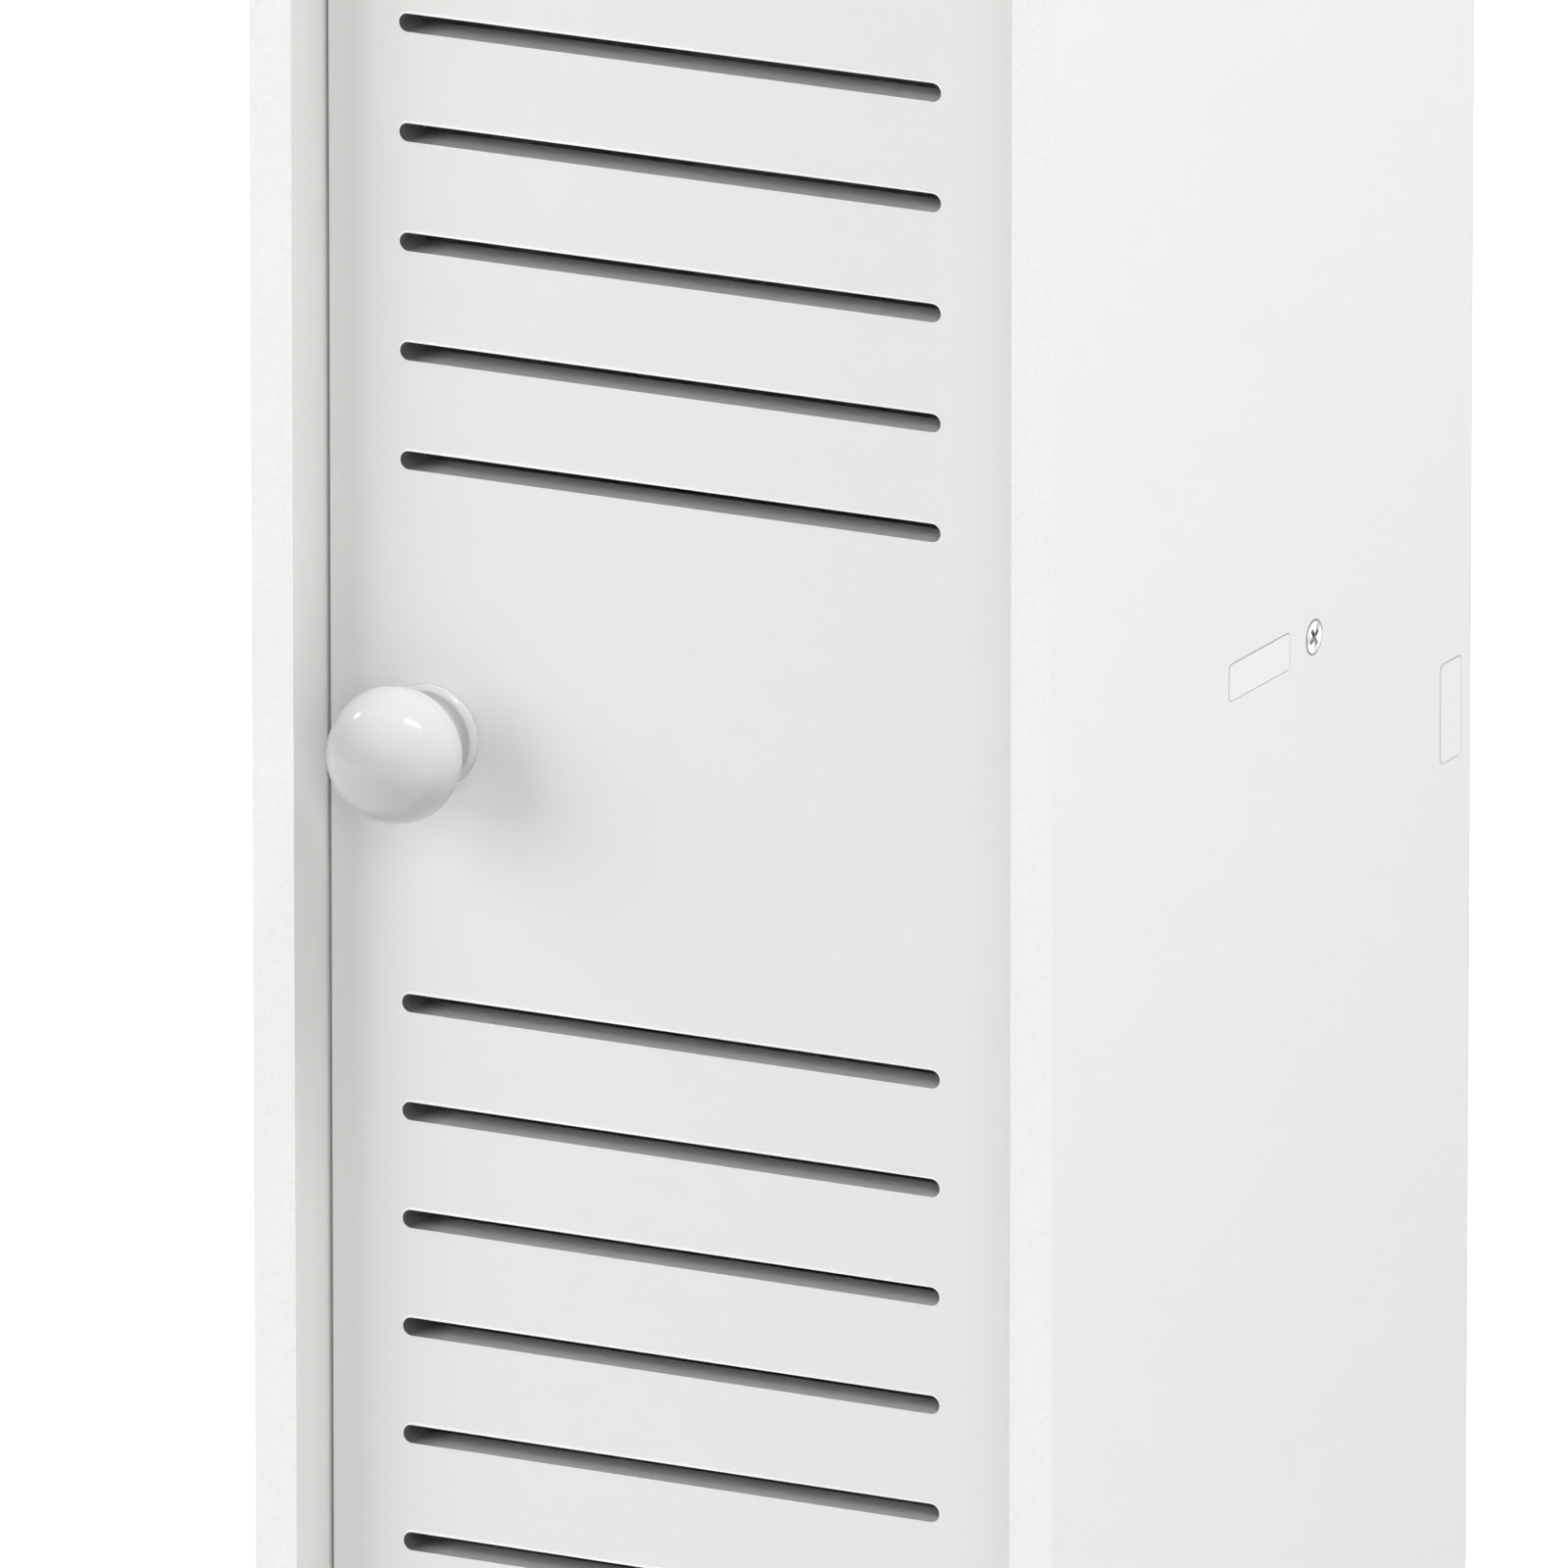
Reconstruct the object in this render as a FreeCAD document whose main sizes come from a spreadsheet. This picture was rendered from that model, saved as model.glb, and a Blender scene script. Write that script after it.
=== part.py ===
"""Slim louvred door cabinet: tenoned foam-board carcass, one inset door on pivot pins, ceramic knob.

The frame: +X to the right, +Y to the back, +Z up, origin on the floor below the middle of the whole.
Bodies measure y from the front edges of the side panels, so most are placed at y = FRONT.
"""
import FreeCAD, Part
import Sketcher
import math
import os

# Each size: name, millimetres (or a count or degrees), what it is.
SIZES = [
    ("width", 200, "over both side panels"),
    ("depth", 210, "of the side panels, front edge to rear edge"),
    ("height", 800, "floor to the top face"),
    ("side_thickness", 10.5, "side panels"),
    ("board_thickness", 8.5, "top, bottom, shelves and kick board"),
    ("back_thickness", 10.5, "back panel"),
    ("back_inset", 5, "rear edge of the sides to the back panel"),
    ("back_lift", 9, "floor to the lower edge of the back panel"),
    ("kick_height", 40, "floor to the underside of the bottom panel"),
    ("kick_setback", 22, "front edge of the sides to the kick board"),
    ("shelf_clearance", 1, "shelves to the sweep of the door's hinge edge"),
    ("middle_shelf_rise", 15, "middle of the knob up to the middle of the fixed shelf"),
    ("loose_shelf_gap", 0.8, "loose shelf to each neighbour"),
    ("pin_step", 32, "between the rows of shelf pin holes"),
    ("pin_setback", 25, "edge of a loose shelf to its pins"),
    ("pin_radius", 2.5, "shelf pin stem"),
    ("pin_cover", 2.5, "board left behind a shelf pin hole"),
    ("pin_ledge", 9, "length of the flat ledge of a shelf pin"),
    ("tenon_centre", 102.5, "front edge of the sides to the middle of the tenons"),
    ("tenon_length", 30.6, "tenon of a board, front to back"),
    ("tenon_corner", 1.4, "radius of a tenon's corners"),
    ("back_tenon_height", 23.2, "upright tenon of the back panel"),
    ("back_tenon_inset", 91, "ends of the back panel to the middle of its end tenons"),
    ("kick_tenon_height", 18, "tenon of the kick board"),
    ("tenon_gap", 0.12, "tenon to its mortise, all round"),
    ("door_recess", 16, "front edge of the sides to the door's face"),
    ("door_thickness", 10.5, "door board"),
    ("latch_gap", 1, "door to the left side panel"),
    ("swing_clearance", 0.25, "sweep of the door's hinge edge to the right side panel"),
    ("end_gap", 2, "door to the top panel and to the bottom panel"),
    ("slot_height", 4.3, "louvre slot, with fully round ends"),
    ("slot_pitch", 25.2, "between the louvre slots"),
    ("slot_first", 2.5, "pitches from the knob to the nearest slot"),
    ("slot_end_margin", 26, "least distance of a slot from the top and bottom edge of the door"),
    ("slot_latch_margin", 17.7, "left edge of the door to the slots"),
    ("slot_hinge_margin", 23.5, "slots to the right edge of the door"),
    ("knob_margin", 25.3, "left edge of the door to the middle of the knob"),
    ("knob_radius", 15.7, "widest part of the knob's head"),
    ("knob_centre", 16.5, "door's face to the widest part of the head"),
    ("knob_dome", 16, "widest part of the head to its tip"),
    ("knob_back", 11.5, "depth of the head behind its widest part"),
    ("knob_shoulder", 0.35, "small step behind the dome's rim"),
    ("knob_neck", 7.6, "radius of the neck"),
    ("flange_radius", 12, "foot of the knob"),
    ("flange_edge", 1.4, "straight edge of the foot"),
    ("flange_chamfer", 1.1, "sloping edge of the foot"),
    ("flange_land", 0.6, "flat ring between the foot's slope and the hollow at the neck"),
    ("insert_radius", 3.5, "threaded insert in the knob"),
    ("insert_length", 14, "threaded insert in the knob"),
    ("bolt_radius", 2, "shank of the knob screw"),
    ("bolt_spare", 4, "insert beyond the end of the knob screw"),
    ("bolt_head_radius", 3.6, "head of the knob screw"),
    ("bolt_head_height", 2.2, "head of the knob screw"),
    ("washer_radius", 4.5, "washer under the knob screw"),
    ("washer_thickness", 0.8, "washer under the knob screw"),
    ("bolt_gap", 0.25, "knob screw to the door and the washer"),
    ("pivot_margin", 7, "right edge of the door to the pivot axis"),
    ("pivot_radius", 2.5, "pivot pin"),
    ("pivot_seat", 18, "pivot pin inside the door"),
    ("pivot_spare", 1.1, "end of a pivot pin to the bottom of its hole"),
    ("pivot_chamfer", 0.6, "ends of a pivot pin"),
    ("pivot_play", 0.05, "pivot pin to its bush"),
    ("bush_radius", 4, "outside of a pivot bush"),
    ("bush_cover", 2.4, "board left behind a pivot bush"),
    ("bush_air", 0.3, "flange of a bush to the door"),
    ("bush_flange_radius", 5.6, "bush flange"),
    ("screw_setback", 130, "front edge of the sides to the side screws"),
    ("screw_head", 4, "radius of a carcass screw's head"),
    ("screw_shank", 1.9, "radius of a carcass screw's shank"),
    ("screw_length", 35, "carcass screw"),
    ("screw_point", 4, "pointed end of a carcass screw"),
    ("screw_gap", 0.25, "carcass screw to its countersunk hole"),
    ("recess_span", 4.6, "cross recess of a carcass screw, tip to tip"),
    ("recess_width", 1.2, "arm of the cross recess"),
    ("recess_depth", 1.4, "cross recess"),
    ("recess_taper", 12, "degrees that the recess narrows"),
    ("recess_turn", 33, "degrees that a sunk screw's cross is turned"),
    ("back_screw_spread", 100, "between the two screws in a row of the back panel"),
    ("top_screw_setback", 45, "front edge of the sides to the front top screws"),
    ("small_head", 2.7, "radius of a fitting screw's head"),
    ("small_shank", 1.3, "radius of a fitting screw's shank"),
    ("small_length", 8, "fitting screw"),
    ("small_point", 2, "pointed end of a fitting screw"),
    ("small_recess_scale", 0.62, "cross recess of a fitting screw against the carcass screw's"),
    ("catch_offset", 30, "middle of the knob to the middle of the catch"),
    ("catch_width", 22, "catch housing between its ears"),
    ("catch_depth", 15, "catch housing, front to back"),
    ("catch_height", 10, "catch housing"),
    ("catch_air", 0.3, "pole plates to the strike plate"),
    ("pole_proud", 0.8, "pole plates in front of the housing"),
    ("pole_thickness", 1.2, "pole plate"),
    ("pole_width", 17, "pole plate"),
    ("magnet_height", 4, "magnet between the pole plates"),
    ("magnet_depth", 11, "magnet, front to back"),
    ("ear_width", 7, "ear of the catch housing"),
    ("ear_thickness", 3, "ear of the catch housing"),
    ("strike_width", 24, "strike plate"),
    ("strike_height", 11, "strike plate"),
    ("strike_thickness", 1.5, "strike plate"),
    ("glide_height", 2, "foot glide below the side panel"),
    ("glide_radius", 4.6, "foot glide"),
    ("glide_chamfer", 0.6, "lower edge of a foot glide"),
    ("glide_nail", 1.1, "radius of a foot glide's nail"),
    ("glide_nail_length", 10, "nail inside the side panel"),
    ("glide_setback", 20, "edges of the side panel to the foot glides"),
]

DOCUMENT = FreeCAD.newDocument("LouvredDoorCabinet")


class Size:
    """A size with its value now and the sheet expression that keeps it up to date."""

    def __init__(self, text, value):
        self.text = text
        self.value = value

    def __add__(self, other):
        other = as_size(other)
        return Size(f"({self.text} + {other.text})", self.value + other.value)

    def __radd__(self, other):
        return as_size(other) + self

    def __sub__(self, other):
        other = as_size(other)
        return Size(f"({self.text} - {other.text})", self.value - other.value)

    def __rsub__(self, other):
        return as_size(other) - self

    def __mul__(self, other):
        other = as_size(other)
        return Size(f"({self.text} * {other.text})", self.value * other.value)

    def __rmul__(self, other):
        return as_size(other) * self

    def __truediv__(self, other):
        other = as_size(other)
        return Size(f"({self.text} / {other.text})", self.value / other.value)

    def __neg__(self):
        return 0 - self


def as_size(number):
    """Wrap a plain number, and leave a size as it is."""
    if isinstance(number, Size):
        return number
    return Size(f"({number})", number)


def root(size):
    """Take the square root of a size."""
    return Size(f"sqrt({size.text})", math.sqrt(size.value))


def whole_part(size):
    """Round a size down to a whole number."""
    return Size(f"floor({size.text})", math.floor(size.value))


class Sheet:
    """The document's spreadsheet: each named size is an attribute."""

    def __init__(self, rows):
        self.cells = DOCUMENT.addObject("Spreadsheet::Sheet", "Sizes")
        for row, (name, value, note) in enumerate(rows, start=1):
            self.cells.set(f"A{row}", name)
            self.cells.set(f"B{row}", str(value))
            self.cells.set(f"C{row}", note)
            self.cells.setAlias(f"B{row}", name)
            setattr(self, name, Size(f"Sizes.{name}", value))


S = Sheet(SIZES)
DOCUMENT.recompute()

# Places that several pieces share, measured in the cabinet's frame.
INNER_WIDTH = S.width - 2 * S.side_thickness
INNER_SIDE = INNER_WIDTH / 2
KNOB_LENGTH = S.knob_centre + S.knob_dome
FRONT = (KNOB_LENGTH - S.door_recess - S.depth) / 2
TOP_UNDER = S.height - S.board_thickness
BOTTOM_TOP = S.kick_height + S.board_thickness
BACK_FACE = S.depth - S.back_inset - S.back_thickness
BACK_MIDDLE = BACK_FACE + S.back_thickness / 2
DOOR_LOW = BOTTOM_TOP + S.end_gap
DOOR_HIGH = TOP_UNDER - S.end_gap
DOOR_REAR = S.door_recess + S.door_thickness
DOOR_MIDDLE = S.door_recess + S.door_thickness / 2
SWEEP_RADIUS = root(S.pivot_margin * S.pivot_margin + S.door_thickness * S.door_thickness / 4)
PIVOT_X = INNER_SIDE - SWEEP_RADIUS - S.swing_clearance
DOOR_LEFT = S.latch_gap - INNER_SIDE
DOOR_RIGHT = PIVOT_X + S.pivot_margin
SHELF_FRONT = DOOR_MIDDLE + SWEEP_RADIUS + S.shelf_clearance
BUSH_LENGTH = S.board_thickness - S.bush_cover
KNOB_X = DOOR_LEFT + S.knob_margin
KNOB_Z = (DOOR_LOW + DOOR_HIGH) / 2
MIDDLE_Z = KNOB_Z + S.middle_shelf_rise
MIDDLE_UNDER = MIDDLE_Z - S.board_thickness / 2
MIDDLE_TOP = MIDDLE_Z + S.board_thickness / 2
LOWER_UNDER = (BOTTOM_TOP + MIDDLE_UNDER) / 2
UPPER_UNDER = (MIDDLE_TOP + TOP_UNDER) / 2
CATCH_X = KNOB_X + S.catch_offset
CATCH_Z = MIDDLE_UNDER - S.catch_height / 2
POLE_FRONT = DOOR_REAR + S.strike_thickness + S.catch_air
CATCH_FRONT = POLE_FRONT + S.pole_proud

# The two kinds of screw: radius of the head, radius of the shank, gap to a clearance hole.
CARCASS_SCREW = (S.screw_head, S.screw_shank, S.screw_gap)
FITTING_SCREW = (S.small_head, S.small_shank, as_size(0))

# Turns that point a piece's own +Z away from a face.
UP = FreeCAD.Rotation()
DOWN = FreeCAD.Rotation(FreeCAD.Vector(1, 0, 0), 180)
TO_RIGHT = FreeCAD.Rotation(FreeCAD.Vector(0, 1, 0), 90)
TO_LEFT = FreeCAD.Rotation(FreeCAD.Vector(0, 1, 0), -90)
TO_FRONT = FreeCAD.Rotation(FreeCAD.Vector(1, 0, 0), 90)
TO_BACK = FreeCAD.Rotation(FreeCAD.Vector(1, 0, 0), -90)


def place(item, x, y, z, turn=UP):
    """Put an object at a point of the cabinet's frame, where y counts from the front edges."""
    item.Placement = FreeCAD.Placement(FreeCAD.Vector(), turn)
    for letter, size in zip("xyz", (x, FRONT + y, z)):
        item.setExpression(f"Placement.Base.{letter}", as_size(size).text)


def new_body(label):
    """Start one sub-part."""
    body = DOCUMENT.addObject("PartDesign::Body", label)
    body.Label = label
    return body


def origin_plane(body, role):
    """Find one of a body's own origin planes."""
    for feature in body.Origin.OriginFeatures:
        if feature.Role == role:
            return feature
    raise ValueError(f"{body.Label} has no {role}")


def new_sketch(body, role, offset=0):
    """Start a sketch on one of a body's origin planes, moved along the plane's normal."""
    sketch = body.newObject("Sketcher::SketchObject", f"{body.Label}_sketch")
    sketch.AttachmentSupport = (origin_plane(body, role), "")
    sketch.MapMode = "FlatFace"
    sketch.setExpression("AttachmentOffset.Base.z", as_size(offset).text)
    return sketch


def hold(sketch, kind, size, *geometry):
    """Add a dimension to a sketch and tie it to its sizes."""
    index = sketch.addConstraint(Sketcher.Constraint(kind, *geometry, as_size(size).value))
    sketch.setExpression(f"Constraints[{index}]", as_size(size).text)


def pin_point(sketch, geometry, point, x, y):
    """Tie one point of a sketch to its two coordinates."""
    hold(sketch, "DistanceX", x, -1, 1, geometry, point)
    hold(sketch, "DistanceY", y, -1, 1, geometry, point)


def vector(x, y):
    """Make the sketch vector of two sizes."""
    return FreeCAD.Vector(as_size(x).value, as_size(y).value, 0)


def bent_side(start, end, radius):
    """Make an arc from start to end that keeps its centre on the left of travel."""
    half = (end - start) * 0.5
    reach = math.sqrt(radius**2 - half.Length**2)
    left = FreeCAD.Vector(-half.y, half.x, 0).normalize()
    centre = start + half + left * reach
    middle = centre - left * radius
    return Part.Arc(start, middle, end)


def draw_outline(sketch, points):
    """Draw a closed outline. A point with a third size starts an arc of that radius."""
    first = sketch.GeometryCount
    count = len(points)
    for index, point in enumerate(points):
        ahead = points[(index + 1) % count]
        start = vector(point[0], point[1])
        end = vector(ahead[0], ahead[1])
        if len(point) == 3:
            sketch.addGeometry(bent_side(start, end, point[2].value))
        else:
            sketch.addGeometry(Part.LineSegment(start, end))
    for index, point in enumerate(points):
        side = first + index
        ahead = first + (index + 1) % count
        into, out = arc_ends(sketch, side)
        next_into, _ = arc_ends(sketch, ahead)
        sketch.addConstraint(Sketcher.Constraint("Coincident", side, out, ahead, next_into))
        pin_point(sketch, side, into, point[0], point[1])
        if len(point) == 3:
            hold(sketch, "Radius", point[2], side)


def arc_ends(sketch, side):
    """Give the numbers of a side's first and last point in the order of travel."""
    geometry = sketch.Geometry[side]
    if isinstance(geometry, Part.LineSegment):
        return 1, 2
    return (1, 2) if geometry.Axis.z > 0 else (2, 1)


def draw_rounded(sketch, centres, radius):
    """Draw the line that runs one radius outside a ring of centres, taken anticlockwise."""
    first = sketch.GeometryCount
    count = len(centres)
    points = [vector(x, y) for x, y in centres]
    sides = [points[(index + 1) % count] - points[index] for index in range(count)]
    headings = [math.atan2(side.y, side.x) for side in sides]
    up = FreeCAD.Vector(0, 0, 1)
    for index, centre in enumerate(points):
        start = headings[index - 1] - math.pi / 2
        end = headings[index] - math.pi / 2
        circle = Part.Circle(centre, up, radius.value)
        sketch.addGeometry(Part.ArcOfCircle(circle, start, end))
        outward = FreeCAD.Vector(math.cos(end), math.sin(end), 0) * radius.value
        ahead = points[(index + 1) % count]
        sketch.addGeometry(Part.LineSegment(centre + outward, ahead + outward))
    for index, (x, y) in enumerate(centres):
        arc = first + 2 * index
        line = arc + 1
        ahead = first + 2 * ((index + 1) % count)
        sketch.addConstraint(Sketcher.Constraint("Tangent", arc, 2, line, 1))
        sketch.addConstraint(Sketcher.Constraint("Tangent", line, 2, ahead, 1))
        pin_point(sketch, arc, 3, x, y)
        hold(sketch, "Radius", radius, arc)


def draw_circle(sketch, x, y, radius):
    """Draw a circle."""
    index = sketch.addGeometry(Part.Circle(vector(x, y), FreeCAD.Vector(0, 0, 1), as_size(radius).value))
    pin_point(sketch, index, 3, x, y)
    hold(sketch, "Radius", radius, index)


def rectangle(low_x, low_y, high_x, high_y):
    """Give the four corners of a rectangle."""
    return [(low_x, low_y), (high_x, low_y), (high_x, high_y), (low_x, high_y)]


def add_pad(body, sketch, length, both_ways=False, backwards=False):
    """Thicken a sketch."""
    pad = body.newObject("PartDesign::Pad", f"{body.Label}_pad")
    pad.Profile = sketch
    pad.SideType = "Symmetric" if both_ways else "One side"
    pad.Reversed = backwards
    pad.setExpression("Length", as_size(length).text)
    DOCUMENT.recompute()
    return pad


def add_turned(body, sketch):
    """Revolve a sketch of the XZ plane about the body's own Z axis."""
    turned = body.newObject("PartDesign::Revolution", f"{body.Label}_turned")
    turned.Profile = sketch
    turned.ReferenceAxis = (sketch, ["V_Axis"])
    turned.Angle = 360
    DOCUMENT.recompute()
    return turned


def check_cut(body, feature, before):
    """Make sure that a cut has taken material away."""
    DOCUMENT.recompute()
    if feature.Shape.isNull() or not feature.Shape.Volume < before:
        raise ValueError(f"{feature.Label} cuts nothing from {body.Label}")
    return feature


def add_pocket(body, sketch, depth=None, backwards=False, taper=None):
    """Cut a sketch to a depth, or right through."""
    before = body.Tip.Shape.Volume
    pocket = body.newObject("PartDesign::Pocket", f"{body.Label}_pocket")
    pocket.Profile = sketch
    pocket.Reversed = backwards
    if depth is None:
        pocket.Type = "ThroughAll"
    else:
        pocket.setExpression("Length", as_size(depth).text)
    if taper is not None:
        pocket.setExpression("TaperAngle", as_size(taper).text)
    return check_cut(body, pocket, before)


def drill(body, role, offset, spots, radius, depth=None, backwards=False):
    """Drill straight holes of one radius from a plane."""
    sketch = new_sketch(body, role, offset)
    for x, y in spots:
        draw_circle(sketch, x, y, radius)
    return add_pocket(body, sketch, depth, backwards)


def sink_holes(body, role, offset, spots, screw, depth=None, backwards=False):
    """Drill countersunk holes for a kind of screw, to a depth or right through."""
    head, shank, gap = screw
    sketch = new_sketch(body, role, offset)
    for x, y in spots:
        draw_circle(sketch, x, y, shank + gap)
    DOCUMENT.recompute()
    before = body.Tip.Shape.Volume
    hole = body.newObject("PartDesign::Hole", f"{body.Label}_hole")
    hole.Profile = sketch
    DOCUMENT.recompute()
    hole.Reversed = backwards
    hole.DrillPoint = "Flat"
    if depth is None:
        hole.DepthType = "ThroughAll"
    else:
        hole.DepthType = "Dimension"
        hole.setExpression("Depth", depth.text)
    hole.HoleCutType = "Countersink"
    hole.HoleCutCustomValues = True
    hole.HoleCutCountersinkAngle = 90
    hole.setExpression("Diameter", (2 * (shank + gap)).text)
    hole.setExpression("HoleCutDiameter", (2 * (head + gap)).text)
    return check_cut(body, hole, before)


def mirror_across(body, features):
    """Repeat features of a body on the other side of the cabinet's middle plane."""
    before = body.Tip.Shape.Volume
    mirrored = body.newObject("PartDesign::Mirrored", f"{body.Label}_mirrored")
    mirrored.Originals = features
    mirrored.MirrorPlane = (origin_plane(body, "YZ_Plane"), [""])
    body.Tip = mirrored
    return check_cut(body, mirrored, before)


def tenon_ring(middle_x, middle_y, length_x, length_y):
    """Give the centres of a tenon's round corners. A mortise has the same centres."""
    reach_x = length_x / 2 - S.tenon_corner
    reach_y = length_y / 2 - S.tenon_corner
    return rectangle(middle_x - reach_x, middle_y - reach_y, middle_x + reach_x, middle_y + reach_y)


# The tenons that pass through both side panels: (y, z, length along y, length along z).
BACK_MID_Z = (S.back_lift + TOP_UNDER) / 2
BOARD_TENON = (S.tenon_length, S.board_thickness)
KICK_MIDDLE = (S.kick_setback + S.board_thickness / 2, (S.glide_height + S.kick_height) / 2)
BOTTOM_TENON = (S.tenon_centre, S.kick_height + S.board_thickness / 2, *BOARD_TENON)
MIDDLE_TENON = (S.tenon_centre, MIDDLE_Z, *BOARD_TENON)
KICK_TENON = (*KICK_MIDDLE, S.board_thickness, S.kick_tenon_height)
BACK_TENONS = [
    (BACK_MIDDLE, z, S.back_thickness, S.back_tenon_height)
    for z in (S.back_lift + S.back_tenon_inset, BACK_MID_Z, TOP_UNDER - S.back_tenon_inset)
]


def board(label, front, rear, low, high, tenons=()):
    """Make a board between the side panels, with tenons that end flush with their outer faces."""
    body = new_body(label)
    outline = new_sketch(body, "XY_Plane")
    draw_outline(outline, rectangle(-INNER_SIDE, front, INNER_SIDE, rear))
    add_pad(body, outline, high - low)
    if tenons:
        ends = new_sketch(body, "YZ_Plane")
        for y, z, long_y, long_z in tenons:
            draw_rounded(ends, tenon_ring(y, z - low, long_y, long_z), S.tenon_corner)
        add_pad(body, ends, S.width, both_ways=True)
    place(body, 0, 0, low)
    return body


def end_pilots(body, spots):
    """Drill the pilot holes of the side screws into both ends of a board."""
    depth = S.screw_length - S.side_thickness
    holes = drill(body, "YZ_Plane", INNER_SIDE, spots, S.screw_shank, depth)
    mirror_across(body, [holes])


def rear_pilots(body):
    """Drill the pilot holes of the back screws into the rear edge of a board."""
    spots = [(side * S.back_screw_spread / 2, S.board_thickness / 2) for side in (-1, 1)]
    depth = S.screw_length - S.back_thickness
    drill(body, "XZ_Plane", -BACK_FACE, spots, S.screw_shank, depth, backwards=True)


def side_panel():
    """Make the right side panel from its inner face outwards."""
    body = new_body("right_side_panel")
    outline = new_sketch(body, "YZ_Plane")
    draw_outline(outline, rectangle(0, S.glide_height, S.depth, TOP_UNDER))
    add_pad(body, outline, S.side_thickness)
    across = S.side_thickness / 2
    tenon = new_sketch(body, "XY_Plane", TOP_UNDER)
    draw_rounded(
        tenon,
        tenon_ring(across, S.tenon_centre, S.side_thickness, S.tenon_length),
        S.tenon_corner,
    )
    add_pad(body, tenon, S.board_thickness)
    mortises = new_sketch(body, "YZ_Plane")
    for y, z, long_y, long_z in (BOTTOM_TENON, MIDDLE_TENON, KICK_TENON, *BACK_TENONS):
        draw_rounded(mortises, tenon_ring(y, z, long_y, long_z), S.tenon_corner + S.tenon_gap)
    add_pocket(body, mortises, S.side_thickness, backwards=True)
    drill(body, "YZ_Plane", 0, pin_rows(), S.pin_radius, S.side_thickness - S.pin_cover, backwards=True)
    sink_holes(body, "YZ_Plane", S.side_thickness, side_screw_spots(), CARCASS_SCREW)
    depth = S.screw_length - S.board_thickness
    top_spots = [(across, y) for y in (S.top_screw_setback, S.depth - S.top_screw_setback)]
    drill(body, "XY_Plane", TOP_UNDER, top_spots, S.screw_shank, depth)
    foot_spots = [(across, y) for y in glide_rows()]
    drill(
        body,
        "XY_Plane",
        S.glide_height,
        foot_spots,
        S.glide_nail,
        S.glide_nail_length,
        backwards=True,
    )
    place(body, INNER_SIDE, 0, 0)
    return body


def left_side_panel(right):
    """Mirror the right side panel across the middle plane."""
    panel = DOCUMENT.addObject("Part::Mirroring", "left_side_panel")
    panel.Label = "left_side_panel"
    panel.Source = right
    panel.Normal = FreeCAD.Vector(1, 0, 0)
    return panel


def side_screw_spots():
    """Give (y, z) of the screws through a side panel: into the bottom panel and the middle shelf."""
    return [(S.screw_setback, BOTTOM_TENON[1]), (S.screw_setback, MIDDLE_TENON[1])]


def pin_columns():
    """Give y of the shelf pins."""
    return [SHELF_FRONT + S.pin_setback, BACK_FACE - S.pin_setback]


def pin_rows():
    """Give (y, z) of every shelf pin hole: three rows for each loose shelf."""
    return [
        (y, under - S.pin_radius + row * S.pin_step)
        for under in (LOWER_UNDER, UPPER_UNDER)
        for row in (-1, 0, 1)
        for y in pin_columns()
    ]


def glide_rows():
    """Give y of the foot glides."""
    return [S.glide_setback, S.depth - S.glide_setback]


def top_panel():
    """Make the top panel, which lies over the side panels and their tenons."""
    body = new_body("top_panel")
    half = S.width / 2
    outline = new_sketch(body, "XY_Plane")
    draw_outline(outline, rectangle(-half, 0, half, S.depth))
    add_pad(body, outline, S.board_thickness)
    across = half - S.side_thickness / 2
    mortises = new_sketch(body, "XY_Plane")
    for side in (-1, 1):
        ring = tenon_ring(side * across, S.tenon_centre, S.side_thickness, S.tenon_length)
        draw_rounded(mortises, ring, S.tenon_corner + S.tenon_gap)
    add_pocket(body, mortises, S.board_thickness, backwards=True)
    sink_holes(body, "XY_Plane", S.board_thickness, top_screw_spots(), CARCASS_SCREW)
    drill(body, "XY_Plane", 0, [(PIVOT_X, DOOR_MIDDLE)], S.bush_radius, BUSH_LENGTH, backwards=True)
    place(body, 0, 0, TOP_UNDER)
    return body


def top_screw_spots():
    """Give (x, y) of the screws through the top panel: into the side panels and the back panel."""
    across = S.width / 2 - S.side_thickness / 2
    rows = (S.top_screw_setback, S.depth - S.top_screw_setback)
    into_sides = [(side * across, y) for side in (-1, 1) for y in rows]
    into_back = [(side * S.back_screw_spread / 2, BACK_MIDDLE) for side in (-1, 1)]
    return into_sides + into_back


def bottom_panel():
    """Make the bottom panel, flush with the front edges of the sides."""
    body = board("bottom_panel", as_size(0), BACK_FACE, S.kick_height, BOTTOM_TOP, [BOTTOM_TENON])
    end_pilots(body, [(S.screw_setback, S.board_thickness / 2)])
    rear_pilots(body)
    spot = [(PIVOT_X, DOOR_MIDDLE)]
    drill(body, "XY_Plane", S.board_thickness, spot, S.bush_radius, BUSH_LENGTH)
    return body


def middle_shelf():
    """Make the fixed shelf, which also carries the catch."""
    body = board("middle_shelf", SHELF_FRONT, BACK_FACE, MIDDLE_UNDER, MIDDLE_TOP, [MIDDLE_TENON])
    end_pilots(body, [(S.screw_setback, S.board_thickness / 2)])
    rear_pilots(body)
    spots = [(x, CATCH_FRONT + S.catch_depth / 2) for x in catch_screw_columns()]
    sink_holes(body, "XY_Plane", -S.ear_thickness, spots, FITTING_SCREW, S.small_length, backwards=True)
    return body


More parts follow.
